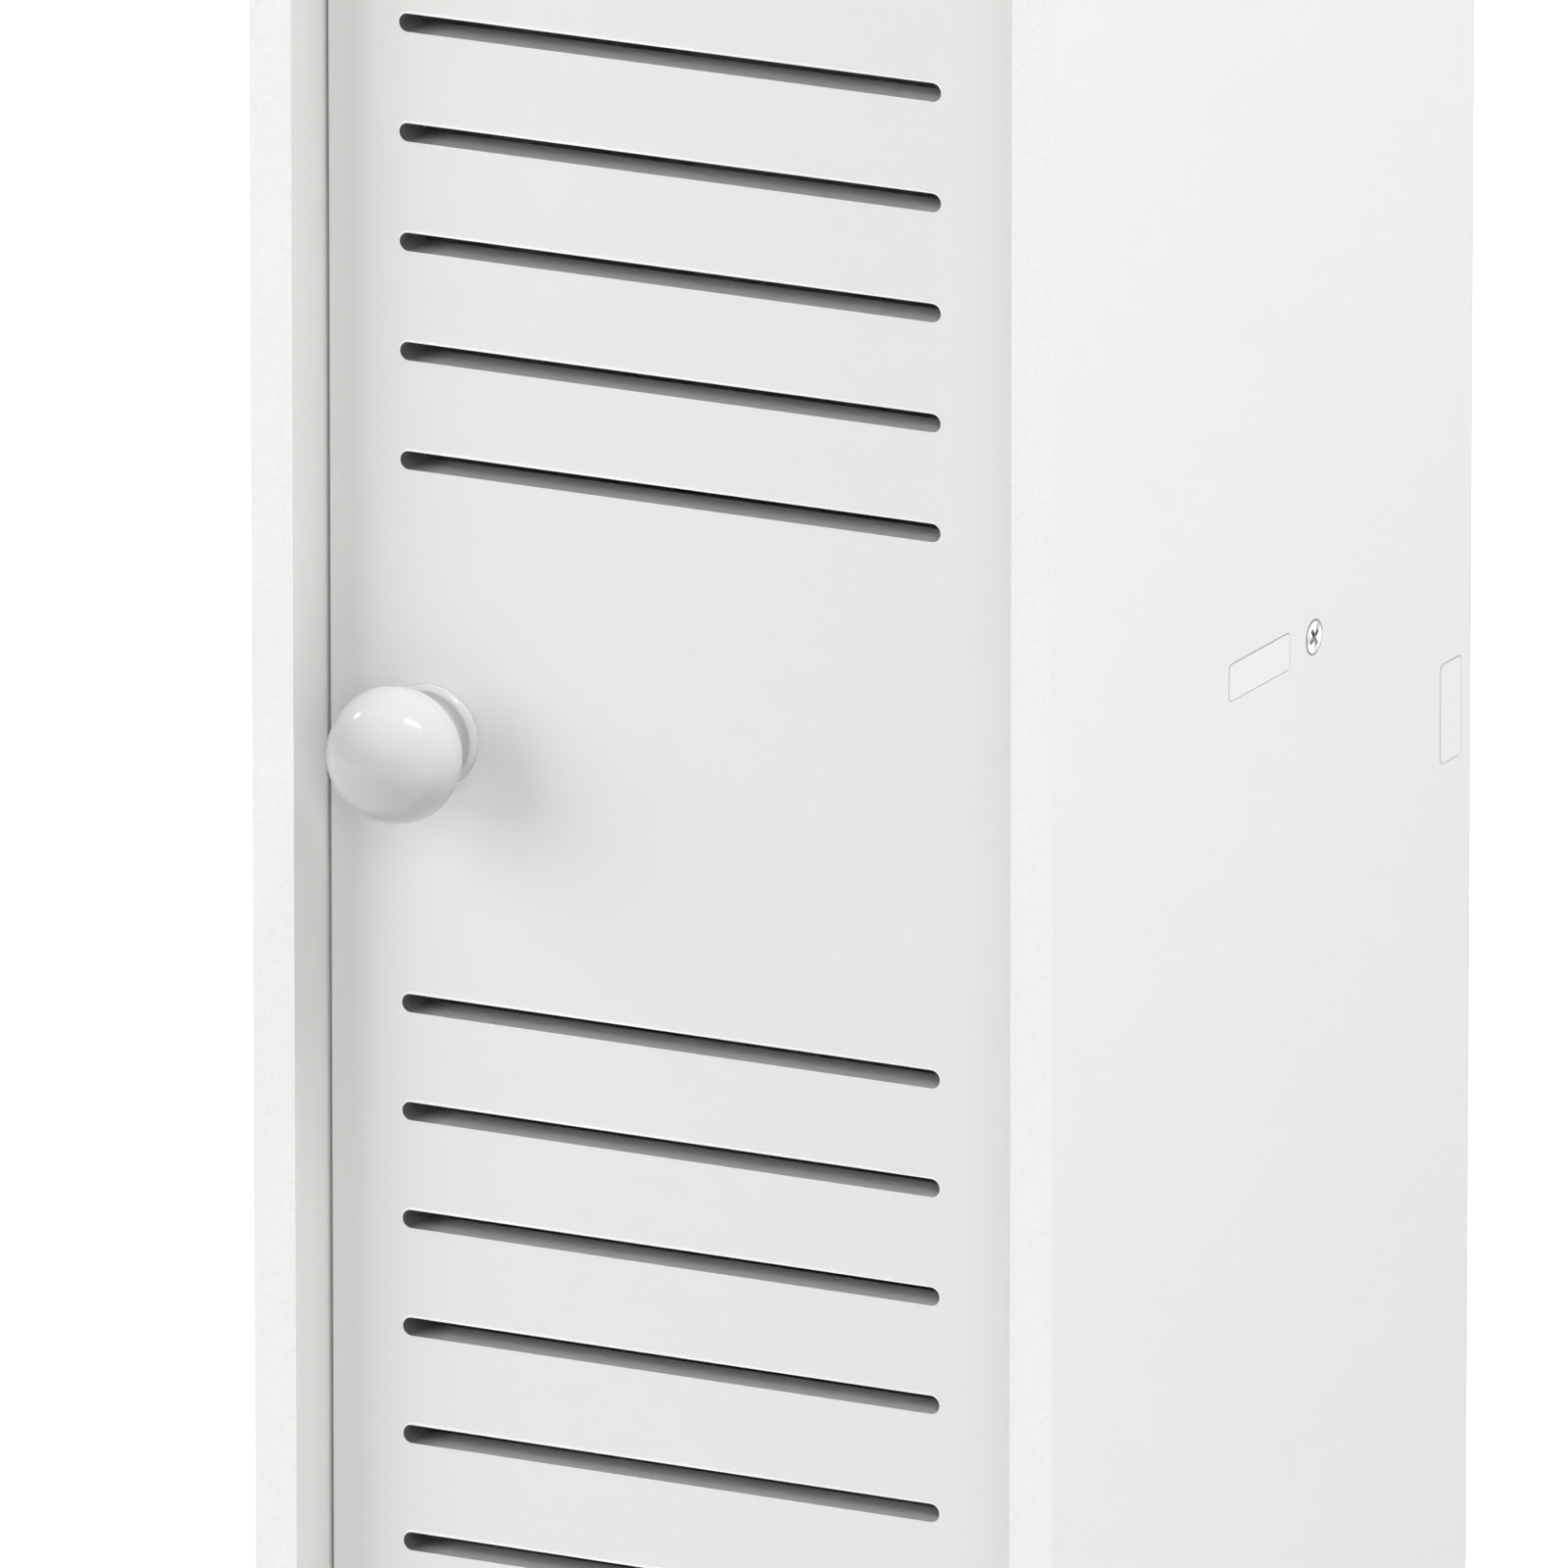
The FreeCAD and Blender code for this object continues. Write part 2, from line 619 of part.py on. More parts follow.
def back_panel():
    """Make the back panel, tenoned three times into each side."""
    rear = BACK_FACE + S.back_thickness
    body = board("back_panel", BACK_FACE, rear, S.back_lift, TOP_UNDER, BACK_TENONS)
    spots = [
        (side * S.back_screw_spread / 2, z - S.back_lift)
        for z in (BOTTOM_TENON[1], MIDDLE_TENON[1])
        for side in (-1, 1)
    ]
    sink_holes(body, "XZ_Plane", -rear, spots, CARCASS_SCREW, backwards=True)
    depth = S.screw_length - S.board_thickness
    top_spots = [(side * S.back_screw_spread / 2, BACK_MIDDLE) for side in (-1, 1)]
    drill(body, "XY_Plane", TOP_UNDER - S.back_lift, top_spots, S.screw_shank, depth)
    return body


def kick_board():
    """Make the kick board under the bottom panel."""
    rear = S.kick_setback + S.board_thickness
    return board("kick_board", S.kick_setback, rear, S.glide_height, S.kick_height, [KICK_TENON])


def loose_shelf(label, under):
    """Make a loose shelf, which lies on four shelf pins."""
    body = new_body(label)
    half = INNER_SIDE - S.loose_shelf_gap
    outline = new_sketch(body, "XY_Plane")
    draw_outline(outline, rectangle(-half, SHELF_FRONT, half, BACK_FACE - S.loose_shelf_gap))
    add_pad(body, outline, S.board_thickness)
    place(body, 0, 0, under)
    return body


def shelf_pins():
    """Make the shelf pins: a stem in the side panel and a flat ledge under the shelf."""
    pin = new_body("shelf_pin_pattern")
    stem = new_sketch(pin, "YZ_Plane", -S.pin_ledge)
    draw_circle(stem, 0, -S.pin_radius, S.pin_radius)
    add_pad(pin, stem, S.pin_ledge + S.side_thickness - S.pin_cover)
    flat = new_sketch(pin, "YZ_Plane", -S.pin_ledge)
    draw_outline(flat, rectangle(-S.pin_radius, -S.pin_radius, S.pin_radius, as_size(0)))
    add_pad(pin, flat, S.pin_ledge)
    facing = {1: UP, -1: FreeCAD.Rotation(FreeCAD.Vector(0, 0, 1), 180)}
    spots = [
        (side * INNER_SIDE, y, under, facing[side])
        for under in (LOWER_UNDER, UPPER_UNDER)
        for side in (-1, 1)
        for y in pin_columns()
    ]
    return group("shelf_pins", pin, spots)


def group(label, source, spots):
    """Make one node of separate copies of a piece: spots hold x, y, z and a turn."""
    copies = []
    for x, y, z, turn in spots:
        copy = DOCUMENT.addObject("App::Link", f"{label}_copy")
        copy.LinkedObject = source
        place(copy, x, y, z, turn)
        copies.append(copy)
    whole = DOCUMENT.addObject("Part::Compound", label)
    whole.Label = label
    whole.Links = copies
    return whole


def cross_outline(scale):
    """Give the twelve corners of a screw's cross recess."""
    reach = S.recess_span * scale / 2
    half = S.recess_width * scale / 2
    return [
        (half, -reach),
        (half, -half),
        (reach, -half),
        (reach, half),
        (half, half),
        (half, reach),
        (-half, reach),
        (-half, half),
        (-reach, half),
        (-reach, -half),
        (-half, -half),
        (-half, -reach),
    ]


def sunk_screw(label, head, shank, length, point, scale):
    """Make a countersunk screw whose head is level with z = 0 and whose point is below."""
    body = new_body(label)
    profile = new_sketch(body, "XZ_Plane")
    points = [(0, 0), (0, -length), (shank, point - length), (shank, shank - head), (head, 0)]
    draw_outline(profile, points)
    add_turned(body, profile)
    cross = new_sketch(body, "XY_Plane")
    cross.setExpression("AttachmentOffset.Rotation.Angle", S.recess_turn.text)
    draw_outline(cross, cross_outline(scale))
    add_pocket(body, cross, S.recess_depth * scale, taper=-S.recess_taper)
    return body


def carcass_screws():
    """Make the three groups of carcass screws."""
    screw = sunk_screw(
        "carcass_screw_pattern",
        S.screw_head,
        S.screw_shank,
        S.screw_length,
        S.screw_point,
        as_size(1),
    )
    half = S.width / 2
    rear = BACK_FACE + S.back_thickness
    sides = [
        (side * half, y, z, turn)
        for side, turn in ((-1, TO_LEFT), (1, TO_RIGHT))
        for y, z in side_screw_spots()
    ]
    tops = [(x, y, S.height, UP) for x, y in top_screw_spots()]
    backs = [
        (side * S.back_screw_spread / 2, rear, z, TO_BACK)
        for z in (BOTTOM_TENON[1], MIDDLE_TENON[1])
        for side in (-1, 1)
    ]
    return [
        group("side_screws", screw, sides),
        group("top_screws", screw, tops),
        group("back_screws", screw, backs),
    ]


def door_panel():
    """Make the door: a flat board with two rows of routed slots."""
    body = new_body("door_panel")
    outline = new_sketch(body, "XY_Plane")
    draw_outline(outline, rectangle(DOOR_LEFT, S.door_recess, DOOR_RIGHT, DOOR_REAR))
    add_pad(body, outline, DOOR_HIGH - DOOR_LOW)
    middle = KNOB_Z - DOOR_LOW
    for side in (-1, 1):
        slot_row(body, middle, side)
    drill(body, "XZ_Plane", -S.door_recess, [(KNOB_X, middle)], S.bolt_radius + S.bolt_gap)
    seat = [(PIVOT_X, DOOR_MIDDLE)]
    drill(body, "XY_Plane", DOOR_HIGH - DOOR_LOW, seat, S.pivot_radius, S.pivot_seat)
    drill(body, "XY_Plane", 0, seat, S.pivot_radius, S.pivot_seat, backwards=True)
    spot = [(CATCH_X, CATCH_Z - DOOR_LOW)]
    strike_face = DOOR_REAR + S.strike_thickness
    sink_holes(body, "XZ_Plane", -strike_face, spot, FITTING_SCREW, S.small_length, backwards=True)
    place(body, 0, 0, DOOR_LOW)
    return body


def slot_row(body, middle, side):
    """Cut a row of slots that starts near the knob and runs up (side 1) or down (side -1)."""
    radius = S.slot_height / 2
    left = DOOR_LEFT + S.slot_latch_margin + radius
    right = DOOR_RIGHT - S.slot_hinge_margin - radius
    height = middle + side * S.slot_first * S.slot_pitch
    further = whole_part((middle - S.slot_end_margin) / S.slot_pitch - S.slot_first)
    sketch = new_sketch(body, "XZ_Plane", -S.door_recess)
    draw_rounded(sketch, [(left, height), (right, height)], radius)
    slot = add_pocket(body, sketch)
    before = slot.Shape.Volume
    row = body.newObject("PartDesign::LinearPattern", "slot_row")
    row.Originals = [slot]
    row.Direction = (sketch, ["V_Axis"])
    row.Reversed = side < 0
    row.setExpression("Length", (further * S.slot_pitch).text)
    row.setExpression("Occurrences", (further + 1).text)
    body.Tip = row
    check_cut(body, row, before)


def door_knob():
    """Make the ceramic knob: two half ellipsoids on a turned neck and foot."""
    foot = new_body("knob_foot")
    profile = new_sketch(foot, "XZ_Plane")
    slope_end = S.flange_radius - S.flange_chamfer
    cove_start = slope_end - S.flange_land
    cove = cove_start - S.knob_neck
    flange_top = S.flange_edge + S.flange_chamfer
    draw_outline(
        profile,
        [
            (0, 0),
            (S.flange_radius, 0),
            (S.flange_radius, S.flange_edge),
            (slope_end, flange_top),
            (cove_start, flange_top, cove),
            (S.knob_neck, flange_top + cove),
            (S.knob_neck, S.knob_centre),
            (0, S.knob_centre),
        ],
    )
    add_turned(foot, profile)
    dome = half_ellipsoid("knob_front", S.knob_radius, S.knob_dome, 0, 90)
    rear = half_ellipsoid("knob_rear", S.knob_radius - S.knob_shoulder, S.knob_back, -90, 0)
    whole = DOCUMENT.addObject("Part::MultiFuse", "knob_solid")
    whole.Shapes = [foot, dome, rear]
    bore = DOCUMENT.addObject("Part::Cylinder", "knob_bore")
    bore.setExpression("Radius", S.insert_radius.text)
    bore.setExpression("Height", S.insert_length.text)
    knob = DOCUMENT.addObject("Part::Cut", "door_knob")
    knob.Label = "door_knob"
    knob.Base = whole
    knob.Tool = bore
    place(knob, KNOB_X, S.door_recess, KNOB_Z, TO_FRONT)
    return knob


def half_ellipsoid(name, radius, along, low, high):
    """Make half of an ellipsoid about the knob's own Z axis, centred on its widest part."""
    half = DOCUMENT.addObject("Part::Ellipsoid", name)
    half.setExpression("Radius1", along.text)
    half.setExpression("Radius2", radius.text)
    half.setExpression("Radius3", radius.text)
    half.Angle1 = low
    half.Angle2 = high
    half.setExpression("Placement.Base.z", S.knob_centre.text)
    return half


def turned_piece(label, points):
    """Make a turned piece from an outline of (radius, z)."""
    body = new_body(label)
    profile = new_sketch(body, "XZ_Plane")
    draw_outline(profile, points)
    add_turned(body, profile)
    return body


def knob_fittings():
    """Make the insert in the knob, and the washer and screw behind the door."""
    insert = turned_piece(
        "knob_insert",
        rectangle(S.bolt_radius, as_size(0), S.insert_radius, S.insert_length),
    )
    place(insert, KNOB_X, S.door_recess, KNOB_Z, TO_FRONT)
    washer = turned_piece(
        "knob_washer",
        rectangle(S.bolt_radius + S.bolt_gap, as_size(0), S.washer_radius, S.washer_thickness),
    )
    place(washer, KNOB_X, DOOR_REAR, KNOB_Z, TO_BACK)
    screw = new_body("knob_screw")
    profile = new_sketch(screw, "XZ_Plane")
    shank = S.washer_thickness + S.door_thickness + S.insert_length - S.bolt_spare
    draw_outline(
        profile,
        [
            (0, -shank),
            (S.bolt_radius, -shank),
            (S.bolt_radius, 0),
            (S.bolt_head_radius, 0),
            (S.bolt_head_radius, S.bolt_head_height / 2),
            (S.bolt_head_radius - S.bolt_head_height / 2, S.bolt_head_height),
            (0, S.bolt_head_height),
        ],
    )
    add_turned(screw, profile)
    cross = new_sketch(screw, "XY_Plane", S.bolt_head_height)
    draw_outline(cross, cross_outline(as_size(1)))
    add_pocket(screw, cross, S.recess_depth, taper=-S.recess_taper)
    place(screw, KNOB_X, DOOR_REAR + S.washer_thickness, KNOB_Z, TO_BACK)
    return [insert, washer, screw]


def pivots():
    """Make the two pivot pins, which ride with the door, and the bushes that they turn in."""
    length = S.pivot_seat + S.end_gap + BUSH_LENGTH - S.pivot_spare
    bevel = S.pivot_chamfer
    flange = S.end_gap - S.bush_air
    pin_points = [
        (0, 0),
        (S.pivot_radius - bevel, 0),
        (S.pivot_radius, bevel),
        (S.pivot_radius, length - bevel),
        (S.pivot_radius - bevel, length),
        (0, length),
    ]
    bore = S.pivot_radius + S.pivot_play
    bush_points = [
        (bore, -BUSH_LENGTH),
        (S.bush_radius, -BUSH_LENGTH),
        (S.bush_radius, 0),
        (S.bush_flange_radius, 0),
        (S.bush_flange_radius, flange),
        (bore, flange),
    ]
    top_pin = turned_piece("top_pivot_pin", pin_points)
    place(top_pin, PIVOT_X, DOOR_MIDDLE, DOOR_HIGH - S.pivot_seat)
    low_pin = turned_piece("bottom_pivot_pin", pin_points)
    place(low_pin, PIVOT_X, DOOR_MIDDLE, DOOR_LOW + S.pivot_seat, DOWN)
    top_bush = turned_piece("top_pivot_bush", bush_points)
    place(top_bush, PIVOT_X, DOOR_MIDDLE, TOP_UNDER, DOWN)
    low_bush = turned_piece("bottom_pivot_bush", bush_points)
    place(low_bush, PIVOT_X, DOOR_MIDDLE, BOTTOM_TOP)
    return [top_pin, low_pin, top_bush, low_bush]


def catch_screw_columns():
    """Give x of the screws in the catch housing's ears."""
    reach = (S.catch_width + S.ear_width) / 2
    return [CATCH_X - reach, CATCH_X + reach]


def catch_housing():
    """Make the catch housing, hung under the middle shelf: y counts from its front face."""
    body = new_body("catch_housing")
    half = S.catch_width / 2
    outline = new_sketch(body, "XY_Plane")
    draw_outline(outline, rectangle(-half, as_size(0), half, S.catch_depth))
    add_pad(body, outline, S.catch_height, backwards=True)
    ears = new_sketch(body, "XY_Plane")
    wide = half + S.ear_width
    draw_outline(ears, rectangle(-wide, as_size(0), wide, S.catch_depth))
    add_pad(body, ears, S.ear_thickness, backwards=True)
    cavity = new_sketch(body, "XZ_Plane")
    reach = S.pole_width / 2
    tall = S.magnet_height / 2 + S.pole_thickness
    middle = -S.catch_height / 2
    draw_outline(cavity, rectangle(-reach, middle - tall, reach, middle + tall))
    add_pocket(body, cavity, S.magnet_depth)
    spots = [(x - CATCH_X, S.catch_depth / 2) for x in catch_screw_columns()]
    sink_holes(body, "XY_Plane", -S.ear_thickness, spots, FITTING_SCREW, backwards=True)
    place(body, CATCH_X, CATCH_FRONT, MIDDLE_UNDER)
    return body


def catch_core():
    """Make the magnet and the two pole plates that stand proud of the housing."""
    half = S.pole_width / 2
    magnet = block(
        "catch_magnet",
        (CATCH_X - half, CATCH_FRONT, CATCH_Z - S.magnet_height / 2),
        (S.pole_width, S.magnet_depth, S.magnet_height),
    )
    plates = []
    for low in (CATCH_Z - S.magnet_height / 2 - S.pole_thickness, CATCH_Z + S.magnet_height / 2):
        plates.append(
            block(
                "pole_plate",
                (CATCH_X - half, POLE_FRONT, low),
                (S.pole_width, S.magnet_depth + S.pole_proud, S.pole_thickness),
            )
        )
    pair = DOCUMENT.addObject("Part::Compound", "catch_pole_plates")
    pair.Label = "catch_pole_plates"
    pair.Links = plates
    return [magnet, pair]


def block(name, corner, lengths):
    """Make a plain block from its low corner and its three lengths."""
    item = DOCUMENT.addObject("Part::Box", name)
    for side, size in zip(("Length", "Width", "Height"), lengths):
        item.setExpression(side, size.text)
    place(item, *corner)
    return item


def strike_plate():
    """Make the strike plate on the back of the door."""
    body = new_body("strike_plate")
    half = S.strike_width / 2
    tall = S.strike_height / 2
    outline = new_sketch(body, "XZ_Plane")
    draw_outline(outline, rectangle(-half, -tall, half, tall))
    add_pad(body, outline, S.strike_thickness, backwards=True)
    sink_holes(body, "XZ_Plane", -S.strike_thickness, [(0, 0)], FITTING_SCREW, backwards=True)
    place(body, CATCH_X, DOOR_REAR, CATCH_Z)
    return body


def fitting_screws():
    """Make the strike screw and the two catch screws."""
    sizes = (S.small_head, S.small_shank, S.small_length, S.small_point, S.small_recess_scale)
    strike = sunk_screw("strike_screw", *sizes)
    place(strike, CATCH_X, DOOR_REAR + S.strike_thickness, CATCH_Z, TO_BACK)
    pattern = sunk_screw("catch_screw_pattern", *sizes)
    under = MIDDLE_UNDER - S.ear_thickness
    spots = [(x, CATCH_FRONT + S.catch_depth / 2, under, DOWN) for x in catch_screw_columns()]
    return [strike, group("catch_screws", pattern, spots)]


def foot_glides():
    """Make the nail-in glides that the side panels stand on."""
    glide = turned_piece(
        "foot_glide_pattern",
        [
            (0, -S.glide_height),
            (S.glide_radius - S.glide_chamfer, -S.glide_height),
            (S.glide_radius, S.glide_chamfer - S.glide_height),
            (S.glide_radius, 0),
            (S.glide_nail, 0),
            (S.glide_nail, S.glide_nail_length - S.glide_nail),
            (0, S.glide_nail_length),
        ],
    )
    across = INNER_SIDE + S.side_thickness / 2
    spots = [(side * across, y, S.glide_height, UP) for side in (-1, 1) for y in glide_rows()]
    return group("foot_glides", glide, spots)


def build_all():
    """Make every sub-part and give the list of them."""
    right = side_panel()
    pieces = [
        right,
        left_side_panel(right),
        top_panel(),
        bottom_panel(),
        middle_shelf(),
        loose_shelf("lower_shelf", LOWER_UNDER),
        loose_shelf("upper_shelf", UPPER_UNDER),
        shelf_pins(),
        back_panel(),
        kick_board(),
        door_panel(),
        door_knob(),
        catch_housing(),
        strike_plate(),
        foot_glides(),
    ]
    for family in (carcass_screws, knob_fittings, pivots, catch_core, fitting_screws):
        pieces.extend(family())
    return pieces


def check_all(pieces):
    """Stop where an object has failed or a sub-part's shape is missing or broken."""
    DOCUMENT.recompute()
    for item in DOCUMENT.Objects:
        if "Invalid" in item.State or "Error" in item.State:
            raise ValueError(f"{item.Label} failed: {item.State}")
    for piece in pieces:
        if piece.Shape.isNull() or not piece.Shape.isValid() or not piece.Shape.Solids:
            raise ValueError(f"{piece.Label} has no sound shape")


def write_all(pieces):
    """Write each sub-part to its own file."""
    os.makedirs("parts", exist_ok=True)
    for piece in pieces:
        piece.Shape.exportStep(f"parts/{piece.Label}.step")
        print(piece.Label, len(piece.Shape.Solids), round(piece.Shape.Volume, 1))


PIECES = build_all()
check_all(PIECES)
write_all(PIECES)
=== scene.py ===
"""Dress the louvred door cabinet: finishes, slot lips, tenon seams, glazed knob and studio."""
import math

import bmesh
import bpy
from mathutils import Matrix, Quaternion, Vector


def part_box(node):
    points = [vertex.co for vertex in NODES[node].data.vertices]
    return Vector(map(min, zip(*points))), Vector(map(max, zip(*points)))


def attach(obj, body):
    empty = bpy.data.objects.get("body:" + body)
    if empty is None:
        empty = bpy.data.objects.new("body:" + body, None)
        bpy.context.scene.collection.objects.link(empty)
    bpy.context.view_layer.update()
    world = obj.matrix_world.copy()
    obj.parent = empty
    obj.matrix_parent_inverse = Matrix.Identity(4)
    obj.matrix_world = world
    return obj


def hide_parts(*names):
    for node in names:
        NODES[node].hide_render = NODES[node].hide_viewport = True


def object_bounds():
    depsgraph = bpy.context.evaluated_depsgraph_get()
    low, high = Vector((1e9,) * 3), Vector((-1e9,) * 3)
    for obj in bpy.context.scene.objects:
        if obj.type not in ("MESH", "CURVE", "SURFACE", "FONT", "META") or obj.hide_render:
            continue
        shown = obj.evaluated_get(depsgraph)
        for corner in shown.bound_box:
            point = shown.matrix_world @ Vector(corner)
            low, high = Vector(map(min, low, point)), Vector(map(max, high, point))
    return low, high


bl_info = {
    "name": "Louvred Door Cabinet",
    "version": (1, 0, 0),
    "blender": (4, 5, 0),
    "location": "3D View > Sidebar > Cabinet",
    "description": "Finishes for the cabinet's boards, knob and fittings, and a studio round it",
    "category": "Object",
}

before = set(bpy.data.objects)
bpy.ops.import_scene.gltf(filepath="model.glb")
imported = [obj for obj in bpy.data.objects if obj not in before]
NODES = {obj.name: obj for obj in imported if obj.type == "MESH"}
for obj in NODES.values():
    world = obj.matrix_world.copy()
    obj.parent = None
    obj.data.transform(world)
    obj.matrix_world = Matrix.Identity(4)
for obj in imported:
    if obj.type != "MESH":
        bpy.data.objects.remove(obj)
CAD_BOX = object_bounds()
MM = 0.001


# ---------------------------------------------------------------- settings


class BoardSettings(bpy.types.PropertyGroup):
    """Foam board of the carcass and the door."""

    skin: bpy.props.FloatVectorProperty(
        name="Skin",
        description="Colour of the smooth faces",
        subtype="COLOR",
        min=0,
        max=1,
        default=(0.775, 0.770, 0.758),
    )
    core: bpy.props.FloatVectorProperty(
        name="Core",
        description="Colour of the sawn and routed edges",
        subtype="COLOR",
        min=0,
        max=1,
        default=(0.870, 0.868, 0.855),
    )
    tenon: bpy.props.FloatVectorProperty(
        name="Tenon ends",
        description="Colour of the tenon ends, sanded flush with the boards round them",
        subtype="COLOR",
        min=0,
        max=1,
        default=(0.832, 0.833, 0.836),
    )
    # The slot walls are painted darker than the sawn edges, as shade inside the slots.
    routed: bpy.props.FloatVectorProperty(
        name="Slot walls",
        description="Colour of the rough foam inside the routed slots",
        subtype="COLOR",
        min=0,
        max=1,
        default=(0.60, 0.60, 0.59),
    )
    slot_end: bpy.props.FloatVectorProperty(
        name="Slot ends",
        description="Shade painted on the walls at the left end of each slot",
        subtype="COLOR",
        min=0,
        max=1,
        default=(0.16, 0.16, 0.155),
    )
    cell: bpy.props.FloatProperty(
        name="Cell",
        description="Size of the foam cells that show in a sawn edge",
        default=0.9 * MM,
        min=0.1 * MM,
        unit="LENGTH",
    )
    relief: bpy.props.FloatProperty(
        name="Relief",
        description="Depth of the cells in a sawn edge",
        default=0.2 * MM,
        min=0,
        unit="LENGTH",
    )
    skin_roughness: bpy.props.FloatProperty(
        name="Skin roughness",
        description="Roughness of the smooth faces",
        default=0.45,
        min=0,
        max=1,
        subtype="FACTOR",
    )


class LipSettings(bpy.types.PropertyGroup):
    """Raised lip that the router leaves round each slot."""

    width: bpy.props.FloatProperty(
        name="Width",
        description="Of the lip above a slot, from the slot outwards",
        default=0.62 * MM,
        min=0.05 * MM,
        unit="LENGTH",
    )
    height: bpy.props.FloatProperty(
        name="Height",
        description="Of the lip above a slot, from just behind the door's face",
        default=0.2 * MM,
        min=0,
        unit="LENGTH",
    )
    least: bpy.props.FloatProperty(
        name="Least",
        description="Width and height of the lip below a slot, as a share of those above it",
        default=0.2,
        min=0,
        max=1,
        subtype="FACTOR",
    )
    # The lips are raw foam, painted whiter than the boards as a highlight along each slot.
    colour: bpy.props.FloatVectorProperty(
        name="Colour",
        description="Colour of the lips",
        subtype="COLOR",
        min=0,
        max=1,
        default=(0.95, 0.95, 0.945),
    )


class SeamSettings(bpy.types.PropertyGroup):
    """Painted shade in the seam between a tenon's end and its mortise, on the outside of the sides
    and the top.
    """

    width: bpy.props.FloatProperty(
        name="Width",
        description="From the tenon outwards",
        default=0.13 * MM,
        min=0.02 * MM,
        unit="LENGTH",
    )
    # The seams lean so that their painted shade is wider on the front and upper sides, and in the
    # top on the left and rear.
    slack: bpy.props.FloatProperty(
        name="Slack",
        description="How far the seams lean to the front, or in the top to the left",
        default=0.11 * MM,
        min=0,
        unit="LENGTH",
    )
    drop: bpy.props.FloatProperty(
        name="Drop",
        description="How far the seams lean upwards, or in the top to the rear",
        default=0.08 * MM,
        min=0,
        unit="LENGTH",
    )
    colour: bpy.props.FloatVectorProperty(
        name="Colour",
        description="Shade in the seam",
        subtype="COLOR",
        min=0,
        max=1,
        default=(0.30, 0.30, 0.29),
    )


class KnobSettings(bpy.types.PropertyGroup):
    """Glazed knob, measured from the door's face along its axis."""

    widest: bpy.props.FloatProperty(
        name="Widest part",
        description="Door's face to the widest part of the head",
        default=16.5 * MM,
        min=0,
        unit="LENGTH",
    )
    back: bpy.props.FloatProperty(
        name="Back of the head",
        description="Depth of the head behind its widest part",
        default=11.5 * MM,
        min=0,
        unit="LENGTH",
    )
    shoulder: bpy.props.FloatProperty(
        name="Shoulder",
        description="Step behind the dome's rim",
        default=0.35 * MM,
        min=0,
        unit="LENGTH",
    )
    neck: bpy.props.FloatProperty(
        name="Neck",
        description="Radius of the neck",
        default=7.6 * MM,
        min=0,
        unit="LENGTH",
    )
    foot: bpy.props.FloatProperty(
        name="Foot",
        description="Radius of the foot",
        default=12 * MM,
        min=0,
        unit="LENGTH",
    )
    # The glaze is painted darker than white glaze, as shade over the whole knob; the knob lamp
    # lifts it.
    glaze: bpy.props.FloatVectorProperty(
        name="Glaze",
        description="Colour of the glaze, darker than real white glaze and lifted by the knob lamp",
        subtype="COLOR",
        min=0,
        max=1,
        default=(0.518, 0.518, 0.520),
    )


class FittingSettings(bpy.types.PropertyGroup):
    """Screws, pins, bushes, catch and glides."""

    steel: bpy.props.FloatVectorProperty(
        name="Steel",
        description="Colour of the zinc-plated steel",
        subtype="COLOR",
        min=0,
        max=1,
        default=(0.74, 0.745, 0.76),
    )
    nylon: bpy.props.FloatVectorProperty(
        name="Nylon",
        description="Colour of the bushes, shelf pins, catch housing and glides",
        subtype="COLOR",
        min=0,
        max=1,
        default=(0.80, 0.80, 0.775),
    )
    brass: bpy.props.FloatVectorProperty(
        name="Brass",
        description="Colour of the knob's insert",
        subtype="COLOR",
        min=0,
        max=1,
        default=(0.72, 0.53, 0.27),
    )
    ferrite: bpy.props.FloatVectorProperty(
        name="Ferrite",
        description="Colour of the catch magnet",
        subtype="COLOR",
        min=0,
        max=1,
        default=(0.045, 0.045, 0.05),
    )


